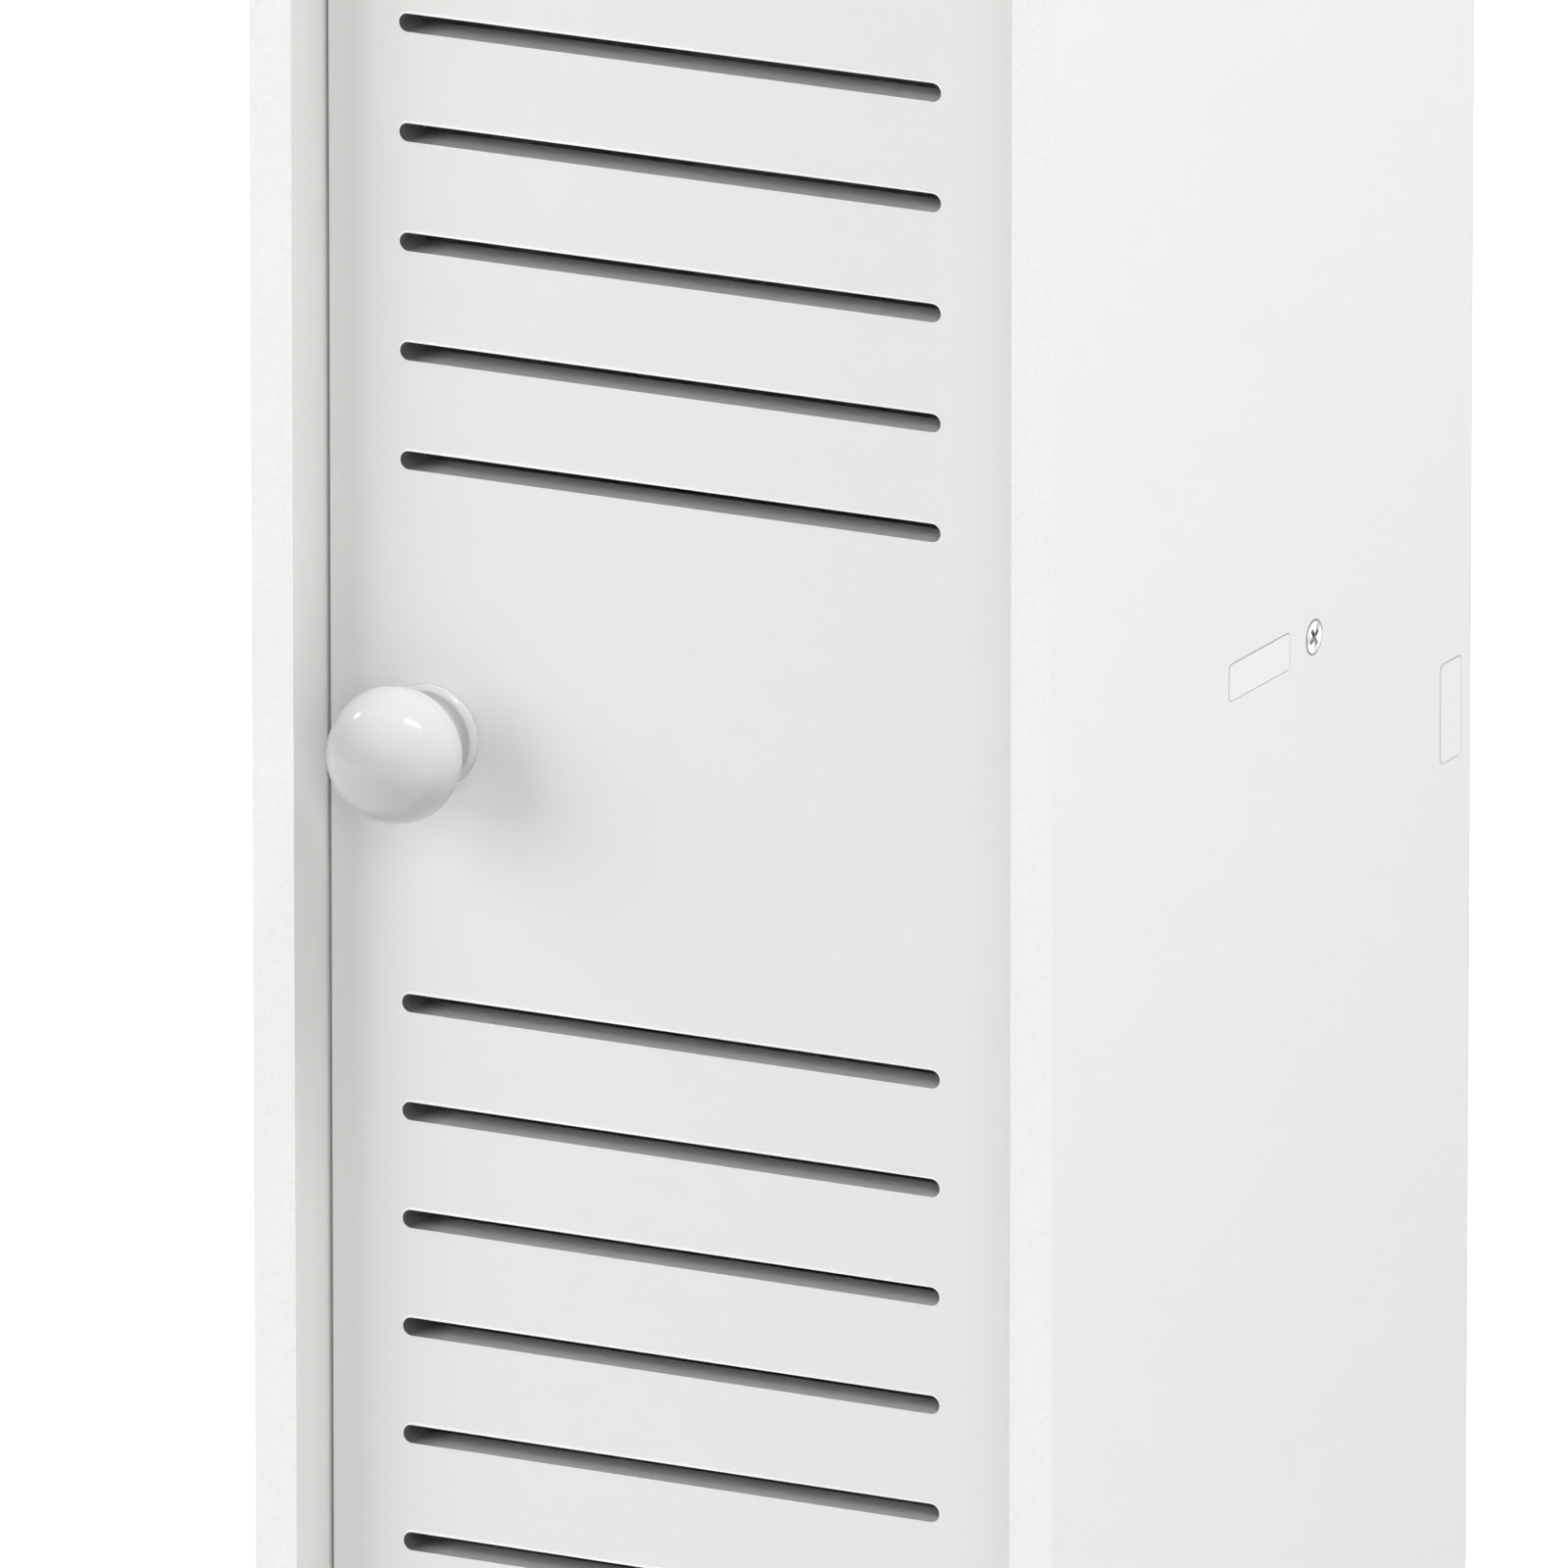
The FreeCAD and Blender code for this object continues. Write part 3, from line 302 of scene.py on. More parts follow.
class StudioSettings(bpy.types.PropertyGroup):
    """Floor, light and camera."""

    floor: bpy.props.FloatVectorProperty(
        name="Floor",
        description="Colour of the floor",
        subtype="COLOR",
        min=0,
        max=1,
        default=(0.80, 0.80, 0.80),
    )
    floor_glow: bpy.props.FloatProperty(
        name="Floor glow",
        description="Light that only the camera and reflections see, so that the floor looks white",
        default=0.66,
        min=0,
    )
    ambient: bpy.props.FloatProperty(
        name="Ambient",
        description="Strength of the light from all round",
        default=0.1,
        min=0,
    )
    key: bpy.props.FloatProperty(
        name="Key",
        description="Power of the large soft box on the left",
        default=36.5,
        min=0,
        unit="POWER",
    )
    front: bpy.props.FloatProperty(
        name="Front",
        description="Power of the soft box in front, on the right",
        default=20,
        min=0,
        unit="POWER",
    )
    side: bpy.props.FloatProperty(
        name="Side",
        description="Power of the soft box on the right",
        default=4.3,
        min=0,
        unit="POWER",
    )
    back: bpy.props.FloatProperty(
        name="Back",
        description="Power of the soft box behind",
        default=16,
        min=0,
        unit="POWER",
    )
    strip: bpy.props.FloatProperty(
        name="Strip",
        description="Power of the slim lamp high on the right, which the glaze mirrors as a streak",
        default=38,
        min=0,
        unit="POWER",
    )
    glint: bpy.props.FloatProperty(
        name="Glint",
        description="Power of the small lamp on the left, which the glaze mirrors",
        default=1.8,
        min=0,
        unit="POWER",
    )
    knob: bpy.props.FloatProperty(
        name="Knob lamp",
        description="Power of the small lamp that lights the knob alone",
        default=28,
        min=0,
        unit="POWER",
    )
    lens: bpy.props.FloatProperty(
        name="Lens",
        description="Focal length in millimetres",
        default=829.7,
        min=1,
    )
    distance: bpy.props.FloatProperty(
        name="Distance",
        description="Camera to the point that it looks at",
        default=8.0,
        min=0.1,
        unit="LENGTH",
    )
    azimuth: bpy.props.FloatProperty(
        name="Azimuth",
        description="Turn of the camera to the right of the front",
        default=math.radians(27.09),
        subtype="ANGLE",
    )
    elevation: bpy.props.FloatProperty(
        name="Elevation",
        description="Angle of the camera above the horizon",
        default=math.radians(16.18),
        subtype="ANGLE",
    )


# ---------------------------------------------------------------- shader maths


class Value:
    """A number that varies over a surface: each operator adds the Math node that works it out."""

    def __init__(self, recipe, socket):
        self.recipe = recipe
        self.socket = socket

    def __add__(self, other):
        return self.recipe.maths("ADD", self, other)

    def __radd__(self, other):
        return self.recipe.maths("ADD", other, self)

    def __sub__(self, other):
        return self.recipe.maths("SUBTRACT", self, other)

    def __rsub__(self, other):
        return self.recipe.maths("SUBTRACT", other, self)

    def __mul__(self, other):
        return self.recipe.maths("MULTIPLY", self, other)

    def __rmul__(self, other):
        return self.recipe.maths("MULTIPLY", other, self)

    def __gt__(self, other):
        return self.recipe.maths("GREATER_THAN", self, other)

    def __lt__(self, other):
        return self.recipe.maths("LESS_THAN", self, other)

    def __abs__(self):
        return self.recipe.maths("ABSOLUTE", self)


class Recipe:
    """A node tree being put together, for a finish or for the light of the room."""

    def __init__(self, tree):
        self.tree = tree
        tree.nodes.clear()

    def add(self, kind, settings=None, inputs=None, output=0):
        """Add a node: its settings, then the values or links of its sockets. Give an output."""
        node = self.tree.nodes.new(kind)
        for name, setting in (settings or {}).items():
            setattr(node, name, setting)
        for name, value in (inputs or {}).items():
            if isinstance(value, Value):
                self.tree.links.new(value.socket, node.inputs[name])
            else:
                node.inputs[name].default_value = value
        return Value(self, node.outputs[output]) if node.outputs else node

    def maths(self, operation, *numbers):
        """Add a Math node."""
        return self.add("ShaderNodeMath", {"operation": operation}, dict(enumerate(numbers)))

    def place(self):
        """Give the place on the piece, in metres."""
        return self.add("ShaderNodeTexCoord", output="Object")

    def parts(self, vector):
        """Split a vector into its three numbers."""
        kind = "ShaderNodeSeparateXYZ"
        return [self.add(kind, inputs={0: vector}, output=axis) for axis in range(3)]

    def nearest(self, along, spots):
        """Give, for each place along a line, the nearest of some spots on it."""
        spots = sorted(spots)
        found = spots[0]
        for low, high in zip(spots, spots[1:]):
            found = found + (along > (low + high) / 2) * (high - low)
        return found

    def grain(self, vector, size, detail=2.0, roughness=0.5):
        """Give smooth noise from 0 to 1 whose lumps are about as large as size."""
        inputs = {"Vector": vector, "Scale": 1 / size, "Detail": detail, "Roughness": roughness}
        return self.add("ShaderNodeTexNoise", inputs=inputs)

    def tint(self, factor, first, second, blend="MIX"):
        """Blend two colours."""
        settings = {"data_type": "RGBA", "blend_type": blend, "clamp_factor": True}
        inputs = {0: factor, 6: colour(first), 7: colour(second)}
        return self.add("ShaderNodeMix", settings, inputs, output=2)

    def relief(self, height, depth, normal=None):
        """Turn a height from 0 to 1 into a bumped normal that is depth deep."""
        inputs = {"Height": height, "Distance": depth}
        if normal is not None:
            inputs["Normal"] = normal
        return self.add("ShaderNodeBump", inputs=inputs)

    def coat(self, **sockets):
        """Finish a surface with the main shader."""
        inputs = {name.replace("_", " "): value for name, value in sockets.items()}
        surface = self.add("ShaderNodeBsdfPrincipled", inputs=inputs)
        self.add("ShaderNodeOutputMaterial", inputs={"Surface": surface})


def colour(value):
    """Add an opaque alpha to a plain colour, and leave a link as it is."""
    if isinstance(value, Value):
        return value
    return (*value[:3], 1.0)


def scaled(value, share):
    """Give a plain colour at a share of its brightness."""
    return tuple(share * part for part in value)


def new_finish(name):
    """Start a material and give it with its recipe."""
    material = bpy.data.materials.new(name)
    material.use_nodes = True
    return material, Recipe(material.node_tree)


def wear(piece, material):
    """Put a material on the whole of a piece."""
    piece.data.materials.clear()
    piece.data.materials.append(material)


# ---------------------------------------------------------------- boards

BOARDS = (
    "right_side_panel",
    "left_side_panel",
    "top_panel",
    "bottom_panel",
    "middle_shelf",
    "lower_shelf",
    "upper_shelf",
    "back_panel",
    "kick_board",
    "door_panel",
)

# A face looks along an axis where more than this share of its normal lies along it.
FACING = 0.7
# Thickness of the layer in which the tenon ends lie flush with the outside.
FLUSH = 0.1 * MM
# Solid board between a slotted board's outer edges and its slots.
RIM = 2 * MM
# How far the painted shade reaches into a slot from its left end.
END_RUN = 9 * MM

# Sizes of the orange peel and the faint clouds in the skin, and the peel's depth.
PEEL, PEEL_DEPTH = 1.6 * MM, 0.012 * MM
CLOUD = 70 * MM
# Size of the flecks in an edge, as a share of a cell.
FLECK_SHARE = 0.35

# Brightness of an edge and of the skin at their darkest, and what each pattern adds.
EDGE_LEAST, EDGE_CELLS, EDGE_FLECKS = 0.905, 0.12, 0.06
SKIN_LEAST, SKIN_CLOUD, SKIN_PEEL = 0.985, 0.015, 0.01
# Roughness of an edge, and how far the peel varies that of the skin.
EDGE_ROUGHNESS = 0.72
PEEL_ROUGHNESS = 0.08
# Shares of the cells and of the flecks in the relief of an edge.
CELL_RELIEF, FLECK_RELIEF = 0.7, 0.3


def thin_axis(node):
    """Give the number of the axis along which a board is thinnest."""
    low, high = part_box(node)
    spans = list(high - low)
    return spans.index(min(spans))


def inside(node, where):
    """Give 1 where a place lies inside a board's outline, away from its outer edges."""
    low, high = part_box(node)
    mask = 1.0
    for axis in (0, 2):
        mask = mask * (where[axis] > low[axis] + RIM) * (high[axis] - RIM > where[axis])
    return mask


def flush_ends(where, normal):
    """Give 1 on what faces outwards in the outermost layer of the sides and the top."""
    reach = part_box("top_panel")[1]
    sides = (abs(where[0]) > reach.x - FLUSH) * (abs(normal[0]) > FACING)
    return sides + (where[2] > reach.z - FLUSH) * (normal[2] > FACING)


def slot_wall_shade(recipe, where, board):
    """Give the colour of the slot walls: painted shade inside the slots, darker still towards the
    left end.
    """
    left_end = min(slot[0] for slot in routed_slots())
    shaded = (left_end + END_RUN - where[0]) * (1 / END_RUN)
    return recipe.tint(shaded, board.routed, board.slot_end)


def board_finish(thin, board, slotted=None):
    """Mix the finish of a board: smooth skin across its thin axis, and foam cells on its edges."""
    material, recipe = new_finish(slotted or "foam_board_" + "xyz"[thin])
    place = recipe.place()
    normal = recipe.parts(recipe.add("ShaderNodeTexCoord", output="Normal"))
    skin = abs(normal[thin]) > FACING
    edge = 1 - skin
    where = recipe.parts(place)

    cells = recipe.grain(place, board.cell, detail=3.0, roughness=0.6)
    flecks = recipe.grain(place, FLECK_SHARE * board.cell, detail=1.0)
    peel = recipe.grain(place, PEEL, detail=2.0)
    cloud = recipe.grain(place, CLOUD, detail=1.0)

    edge_shade = EDGE_LEAST + EDGE_CELLS * cells + EDGE_FLECKS * flecks
    skin_shade = SKIN_LEAST + SKIN_CLOUD * cloud + SKIN_PEEL * peel
    shade = skin * skin_shade + edge * edge_shade
    core = board.core
    # In the slotted door, the walls of the slots get painted shade.
    if slotted:
        core = recipe.tint(inside(slotted, where), core, slot_wall_shade(recipe, where, board))
    body = recipe.tint(skin, core, board.skin)
    body = recipe.tint(flush_ends(where, normal) * edge, body, board.tenon)
    grey = recipe.add("ShaderNodeCombineColor", inputs={0: shade, 1: shade, 2: shade})
    base = recipe.tint(1.0, body, grey, blend="MULTIPLY")

    skin_roughness = board.skin_roughness + PEEL_ROUGHNESS * (peel - 0.5)
    roughness = skin * skin_roughness + edge * EDGE_ROUGHNESS
    bumped = recipe.relief(edge * (CELL_RELIEF * cells + FLECK_RELIEF * flecks), board.relief)
    bumped = recipe.relief(skin * peel, PEEL_DEPTH, bumped)
    recipe.coat(Base_Color=base, Roughness=roughness, Normal=bumped)
    return material


class CABINET_OT_finish_boards(bpy.types.Operator):
    """Give each board its smooth skin and its sawn edges"""

    bl_idname = "cabinet.finish_boards"
    bl_label = "Finish the Boards"

    def execute(self, context):
        board = context.scene.cabinet_board
        finishes = [board_finish(thin, board) for thin in range(3)]
        for name in BOARDS:
            wear(NODES[name], finishes[thin_axis(name)])
        door = "door_panel"
        wear(NODES[door], board_finish(thin_axis(door), board, slotted=door))
        return {"FINISHED"}


# ---------------------------------------------------------------- slot lips

# A corner lies in a plane when it is no further from it than this.
TOUCH = 0.01 * MM
# Least distance of a slot from the door's edges, and from the next slot.
MARGIN = 1 * MM
GAP = 5 * MM
# A slot is over this many times as long as it is high, unlike the hole for the knob's screw.
SLENDER = 5
# Angle between the points of a round end, in degrees.
ARC_STEP = 10
# The lip's section, from the slot outwards, in shares of its width and of its height.
LIP_SECTION = ((0.0, 0.0), (0.0, 0.75), (0.12, 1.0), (0.3, 0.92), (0.7, 0.45), (1.0, 0.0))
# How far the lip's foot lies behind the door's face.
LIP_FOOT = 0.02 * MM
# Size and depth of the fuzz on the cut foam.
FUZZ = 0.4 * MM
FUZZ_DEPTH = 0.02 * MM


def routed_slots():
    """Give the box of each slot in the door's face, as low x, high x, low z and high z."""
    low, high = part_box("door_panel")
    spots = sorted(
        (v.co.z, v.co.x)
        for v in NODES["door_panel"].data.vertices
        if v.co.y < low.y + TOUCH
        and low.x + MARGIN < v.co.x < high.x - MARGIN
        and low.z + MARGIN < v.co.z < high.z - MARGIN
    )
    groups = [[spots[0]]]
    for spot in spots[1:]:
        if spot[0] - groups[-1][-1][0] > GAP:
            groups.append([])
        groups[-1].append(spot)
    slots = []
    for group in groups:
        across = [x for _, x in group]
        upright = [z for z, _ in group]
        if max(across) - min(across) > SLENDER * (max(upright) - min(upright)):
            slots.append((min(across), max(across), min(upright), max(upright)))
    return slots


def slot_ring(slot, outward):
    """Give the points of a round-ended line outward of a slot, as many for any distance."""
    low_x, high_x, low_z, high_z = slot
    radius = (high_z - low_z) / 2
    middle = (high_z + low_z) / 2
    ring = []
    for centre, start in ((high_x - radius, -90), (low_x + radius, 90)):
        for turn in range(0, 180 + ARC_STEP, ARC_STEP):
            angle = math.radians(start + turn)
            reach = radius + outward
            ring.append((centre + reach * math.cos(angle), middle + reach * math.sin(angle)))
    return ring


def raise_lips(lip):
    """Build the lips of all slots as one piece, each highest above its slot."""
    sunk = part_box("door_panel")[0].y + LIP_FOOT
    made = bmesh.new()
    slots = routed_slots()
    if not slots:
        raise RuntimeError("the door's face has no slots")
    for slot in slots:
        low, high = slot[2:]
        near, far = slot_ring(slot, 0), slot_ring(slot, lip.width)
        shares = [lip.least + (1 - lip.least) * ((z - low) / (high - low)) ** 2 for _, z in near]
        rings = []
        for outward, up in LIP_SECTION:
            ring = []
            for start, end, share in zip(near, far, shares):
                x, z = (a + share * outward * (b - a) for a, b in zip(start, end))
                ring.append(made.verts.new((x, sunk - share * up * lip.height, z)))
            rings.append(ring)
        close_band(made, rings)
    return new_piece("slot_lips", made)


def close_band(made, rings):
    """Skin a closed band through rings of corners, the last ring joined to the first."""
    count = len(rings[0])
    for inner, outer in zip(rings, rings[1:] + rings[:1]):
        for here in range(count):
            ahead = (here + 1) % count
            made.faces.new((inner[here], inner[ahead], outer[ahead], outer[here]))


def new_piece(name, made):
    """Turn a built mesh into a smooth piece of the scene."""
    bmesh.ops.recalc_face_normals(made, faces=made.faces)
    mesh = bpy.data.meshes.new(name)
    made.to_mesh(mesh)
    made.free()
    mesh.shade_smooth()
    piece = bpy.data.objects.new(name, mesh)
    bpy.context.scene.collection.objects.link(piece)
    return piece


def lip_finish(lip):
    """Mix the finish of the lips: raw foam, whiter as a painted highlight along the slots, a little
    fuzzy.
    """
    material, recipe = new_finish("routed_foam")
    fuzz = recipe.grain(recipe.place(), FUZZ)
    base = recipe.tint(fuzz, scaled(lip.colour, 0.94), lip.colour)
    bumped = recipe.relief(fuzz, FUZZ_DEPTH)
    recipe.coat(Base_Color=base, Roughness=0.6 + 0.15 * fuzz, Normal=bumped)
    return material


class CABINET_OT_raise_lips(bpy.types.Operator):
    """Build the raised lip round each routed slot of the door"""

    bl_idname = "cabinet.raise_lips"
    bl_label = "Raise the Slot Lips"

    def execute(self, context):
        lip = context.scene.cabinet_lip
        piece = raise_lips(lip)
        wear(piece, lip_finish(lip))
        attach(piece, "door")
        return {"FINISHED"}


# ---------------------------------------------------------------- tenon seams

# Each tenoned board: the axis along which its tenons point, and the sides on which their ends show.
TENONED = {
    "middle_shelf": (0, 1, -1),
    "bottom_panel": (0, 1, -1),
    "back_panel": (0, 1, -1),
    "kick_board": (0, 1, -1),
    "left_side_panel": (2, 1),
    "right_side_panel": (2, 1),
}
# How far a seam stands out of the board and lies in it, and how far it reaches over the tenon.
SKIM = 0.015 * MM
OVERLAP = 0.05 * MM


def flat_outlines(node, axis, level):
    """Give the outlines of a node's faces at a level along an axis, each as corners in order."""
    mesh = NODES[node].data
    across = [other for other in range(3) if other != axis]
    sides = {}
    for face in mesh.polygons:
        corners = [mesh.vertices[index].co for index in face.vertices]
        if any(abs(corner[axis] - level) > TOUCH for corner in corners):
            continue
        spots = [tuple(round(corner[other], 6) for other in across) for corner in corners]
        for here, there in zip(spots, spots[1:] + spots[:1]):
            if (there, here) in sides:
                del sides[there, here]
            else:
                sides[here, there] = True
    ahead = dict(sides.keys())
    outlines = []
    while ahead:
        here = next(iter(ahead))
        outline = []
        while here in ahead:
            outline.append(here)
            here = ahead.pop(here)
        outlines.append(outline)
    return outlines


def grown(outline, outward):
    """Move an outline outwards by a distance."""
    corners = [Vector(corner) for corner in outline]
    turns = [a.x * b.y - a.y * b.x for a, b in zip(corners, corners[1:] + corners[:1])]
    side = math.copysign(1, sum(turns))
    moved = []
    for before, here, after in zip(corners[-1:] + corners[:-1], corners, corners[1:] + corners[:1]):
        along = (here - before).normalized() + (after - here).normalized()
        away = side * Vector((along.y, -along.x)).normalized()
        moved.append(here + outward * away)
    return moved


def held(corner, across):
    """Keep a corner inside the cabinet's box."""
    low, high = CAD_BOX
    return [min(max(part, low[way]), high[way]) for part, way in zip(corner, across)]


def lay_seams(seam):
    """Build the seams of painted shade round all tenon ends as one piece, a hair proud of the
    boards round them.
    """
    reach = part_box("top_panel")[1]
    # Shift the outer edge so that the painted shade is wider on one side of each seam.
    lean = Vector((-seam.slack, seam.drop))
    made = bmesh.new()
    for node, (axis, *sides) in TENONED.items():
        across = [other for other in range(3) if other != axis]
        for side in sides:
            outlines = flat_outlines(node, axis, side * reach[axis])
            if not outlines:
                raise RuntimeError(f"no tenon end of {node} shows")
            for outline in outlines:
                inner = grown(outline, -OVERLAP)
                outer = [held(corner + lean, across) for corner in grown(outline, seam.width)]
                section = ((inner, -SKIM), (inner, SKIM), (outer, SKIM), (outer, -SKIM))
                rings = []
                for corners, proud in section:
                    level = side * (reach[axis] + proud)
                    spots = [(*corner[:axis], level, *corner[axis:]) for corner in corners]
                    rings.append([made.verts.new(spot) for spot in spots])
                close_band(made, rings)
    return new_piece("tenon_seams", made)


class CABINET_OT_lay_seams(bpy.types.Operator):
    """Build the seam round each tenon end in the sides and the top"""

    bl_idname = "cabinet.lay_seams"
    bl_label = "Lay the Tenon Seams"

    def execute(self, context):
        seam = context.scene.cabinet_seam
        piece = lay_seams(seam)
        wear(piece, moulded_finish("seam_shade", seam.colour, 0.7))
        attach(piece, "carcass")
        return {"FINISHED"}


# ---------------------------------------------------------------- knob

# The knob's foot, from the door outwards: its edge, its slope and the flat land round the cove.
FOOT_EDGE = 1.4 * MM
FOOT_SLOPE = 1.1 * MM
FOOT_LAND = 0.6 * MM
# Reach of the rounding at the foot's corners.
SOFT = 0.25 * MM
# Points round the knob.
KNOB_SIDES = 128
# Sizes of the glaze's slow waves and of its pores, and the depth of the waves.
GLAZE_POOL = 9 * MM
GLAZE_PORES = 0.5 * MM
POOL_DEPTH = 0.03 * MM


def quarter(centre, reach, start, end, steps):
    """Give points on an ellipse about centre, from one angle to another in degrees."""
    points = []
    for step in range(steps + 1):
        angle = math.radians(start + (end - start) * step / steps)
        out = centre[0] + reach[0] * math.cos(angle)
        along = centre[1] + reach[1] * math.sin(angle)
        points.append((out, along))
    return points


def knob_profile(knob, radius, length):
    """Give the knob's outline as (radius, distance from the door), from the foot to the tip."""
    foot_top = FOOT_EDGE + FOOT_SLOPE
    cove = knob.foot - FOOT_SLOPE - FOOT_LAND - knob.neck
    rear = radius - knob.shoulder
    meet = math.acos(knob.neck / rear)
    neck_end = knob.widest - knob.back * math.sin(meet) - SOFT
    foot = [
        (knob.foot - SOFT, 0.0),
        (knob.foot, SOFT),
        (knob.foot, FOOT_EDGE - SOFT),
        (knob.foot - 0.3 * SOFT, FOOT_EDGE + 0.4 * SOFT),
        (knob.foot - FOOT_SLOPE + SOFT, foot_top - 0.8 * SOFT),
        (knob.foot - FOOT_SLOPE, foot_top - 0.1 * SOFT),
        (knob.foot - FOOT_SLOPE - FOOT_LAND + SOFT, foot_top),
    ]
    neck = quarter((cove + knob.neck, foot_top + cove), (cove, cove), -90, -180, 10)
    neck.append((knob.neck, neck_end))
    head = (0.0, knob.widest)
    underside = quarter(head, (rear, knob.back), 1 - math.degrees(meet), 0, 24)
    dome = quarter(head, (radius, length - knob.widest), 1.5, 90, 40)
    return foot + neck + underside + dome


def turn_knob(knob):
    """Turn the knob's outline about its axis, which points to the front."""
    low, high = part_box("door_knob")
    middle = (low + high) / 2
    profile = knob_profile(knob, (high.x - low.x) / 2, high.y - low.y)
    made = bmesh.new()
    rings = []
    for out, along in profile[:-1]:
        ring = []
        for side in range(KNOB_SIDES):
            angle = 2 * math.pi * side / KNOB_SIDES
            x = middle.x + out * math.cos(angle)
            z = middle.z + out * math.sin(angle)
            ring.append(made.verts.new((x, high.y - along, z)))
        rings.append(ring)
    tip = made.verts.new((middle.x, low.y, middle.z))
    for inner, outer in zip(rings, rings[1:]):
        for side in range(KNOB_SIDES):
            ahead = (side + 1) % KNOB_SIDES
            made.faces.new((inner[side], inner[ahead], outer[ahead], outer[side]))
    for side in range(KNOB_SIDES):
        made.faces.new((rings[-1][side], rings[-1][(side + 1) % KNOB_SIDES], tip))
    made.faces.new(rings[0])
    return new_piece("ceramic_knob", made)


def glaze_finish(knob):
    """Mix the glaze: darker than real white glaze as painted shade, glossy and very slightly
    uneven.
    """
    material, recipe = new_finish("white_glaze")
    place = recipe.place()
    pool = recipe.grain(place, GLAZE_POOL, detail=1.0)
    pores = recipe.grain(place, GLAZE_PORES, detail=1.0)
    base = recipe.tint(pool, scaled(knob.glaze, 0.985), knob.glaze)
    bumped = recipe.relief(pool, POOL_DEPTH)
    recipe.coat(Base_Color=base, Roughness=0.07 + 0.03 * pores, Normal=bumped)
    return material


class CABINET_OT_turn_knob(bpy.types.Operator):
    """Turn the glazed knob and put it in the place of the plain one"""

    bl_idname = "cabinet.turn_knob"
    bl_label = "Turn the Knob"

    def execute(self, context):
        knob = context.scene.cabinet_knob
        piece = turn_knob(knob)
        wear(piece, glaze_finish(knob))
        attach(piece, "door")
        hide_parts("door_knob")
        return {"FINISHED"}


# ---------------------------------------------------------------- fittings

# The screws that show from outside, and the axis along which they are driven.
SUNK_SCREWS = {"side_screws": 0, "top_screws": 2, "back_screws": 1}
STEEL_PIECES = (
    "catch_screws",
    "strike_screw",
    "knob_screw",
    "knob_washer",
    "strike_plate",
    "top_pivot_pin",
    "bottom_pivot_pin",
    "catch_pole_plates",
)
NYLON_PIECES = (
    "shelf_pins",
    "top_pivot_bush",
    "bottom_pivot_bush",
    "catch_housing",
    "foot_glides",
)
# Sizes of the patterns in metal and in mouldings, and the depths of the finer ones.
MARKS, MARKS_DEPTH = 0.25 * MM, 0.006 * MM
HAZE = 3 * MM
TEXTURE, TEXTURE_DEPTH = 0.3 * MM, 0.01 * MM
SWIRL = 6 * MM
# Width of the painted shade on a screw head's rim, and the depth below which its cross is painted
# as shade.
HEAD_RIM = 0.36 * MM
CROSS_DEPTH = 0.06 * MM
# Brightness of the painted reflection round a screw's head: its middle, then the height, count and
# turn of each wave.
HEAD_MIDDLE = 0.58
HEAD_WAVES = ((0.34, 3, 1.9), (0.16, 5, 0.4))


def metal_finish(name, metal, roughness):
    """Mix a bright metal with fine tool marks and faint handling dullness."""
    material, recipe = new_finish(name)
    place = recipe.place()
    marks = recipe.grain(place, MARKS, detail=3.0, roughness=0.7)
    haze = recipe.grain(place, HAZE)
    base = recipe.tint(haze, scaled(metal, 0.86), metal)
    bumped = recipe.relief(marks, MARKS_DEPTH)
    recipe.coat(
        Base_Color=base,
        Metallic=1.0,
        Roughness=roughness + 0.12 * (haze - 0.5),
        Normal=bumped,
    )
    return material


def screw_finish(node, axis, metal):
    """Mix the finish of sunk screws: painted reflection in sectors, painted shade on rim and cross.
    """
    material, recipe = new_finish(node + "_steel")
    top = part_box(node)[1][axis]
    place = recipe.place()
    where = recipe.parts(place)
    across = [other for other in range(3) if other != axis]
    middles = []
    head = 0.0
    for outline in flat_outlines(node, axis, top):
        spans = [(min(spots), max(spots)) for spots in zip(*outline)]
        middles.append([(least + most) / 2 for least, most in spans])
        head = max(head, (spans[0][1] - spans[0][0]) / 2)
    off = [
        where[other] - recipe.nearest(where[other], {round(middle[index], 5) for middle in middles})
        for index, other in enumerate(across)
    ]
    out = recipe.maths("SQRT", off[0] * off[0] + off[1] * off[1])
    angle = recipe.maths("ARCTAN2", off[1], off[0])
    marks = recipe.grain(place, MARKS, detail=3.0, roughness=0.7)
    reflection_waves = HEAD_MIDDLE
    for height, count, turn in HEAD_WAVES:
        reflection_waves = reflection_waves + height * recipe.maths("SINE", count * angle + turn)
    # Painted shade on the rim of each head and in its cross.
    rim_shade = out > head - HEAD_RIM
    sunk = top - CROSS_DEPTH > abs(where[axis])
    # Light and dark sectors painted as reflection, from darker to brighter than the metal.
    sector_reflection = recipe.tint(reflection_waves, scaled(metal, 0.45), scaled(metal, 1.28))
    base = recipe.tint(rim_shade, sector_reflection, scaled(metal, 0.30))
    base = recipe.tint(sunk, base, scaled(metal, 0.6))
    bumped = recipe.relief(marks, MARKS_DEPTH)
    recipe.coat(Base_Color=base, Metallic=1.0, Roughness=0.22 + 0.1 * marks, Normal=bumped)
    return material


def moulded_finish(name, plastic, roughness):
    """Mix a moulded or pressed finish with a fine matt texture."""
    material, recipe = new_finish(name)
    place = recipe.place()
    texture = recipe.grain(place, TEXTURE, detail=2.0)
    swirl = recipe.grain(place, SWIRL)
    base = recipe.tint(swirl, scaled(plastic, 0.95), plastic)
    bumped = recipe.relief(texture, TEXTURE_DEPTH)
    recipe.coat(Base_Color=base, Roughness=roughness + 0.1 * (texture - 0.5), Normal=bumped)
    return material


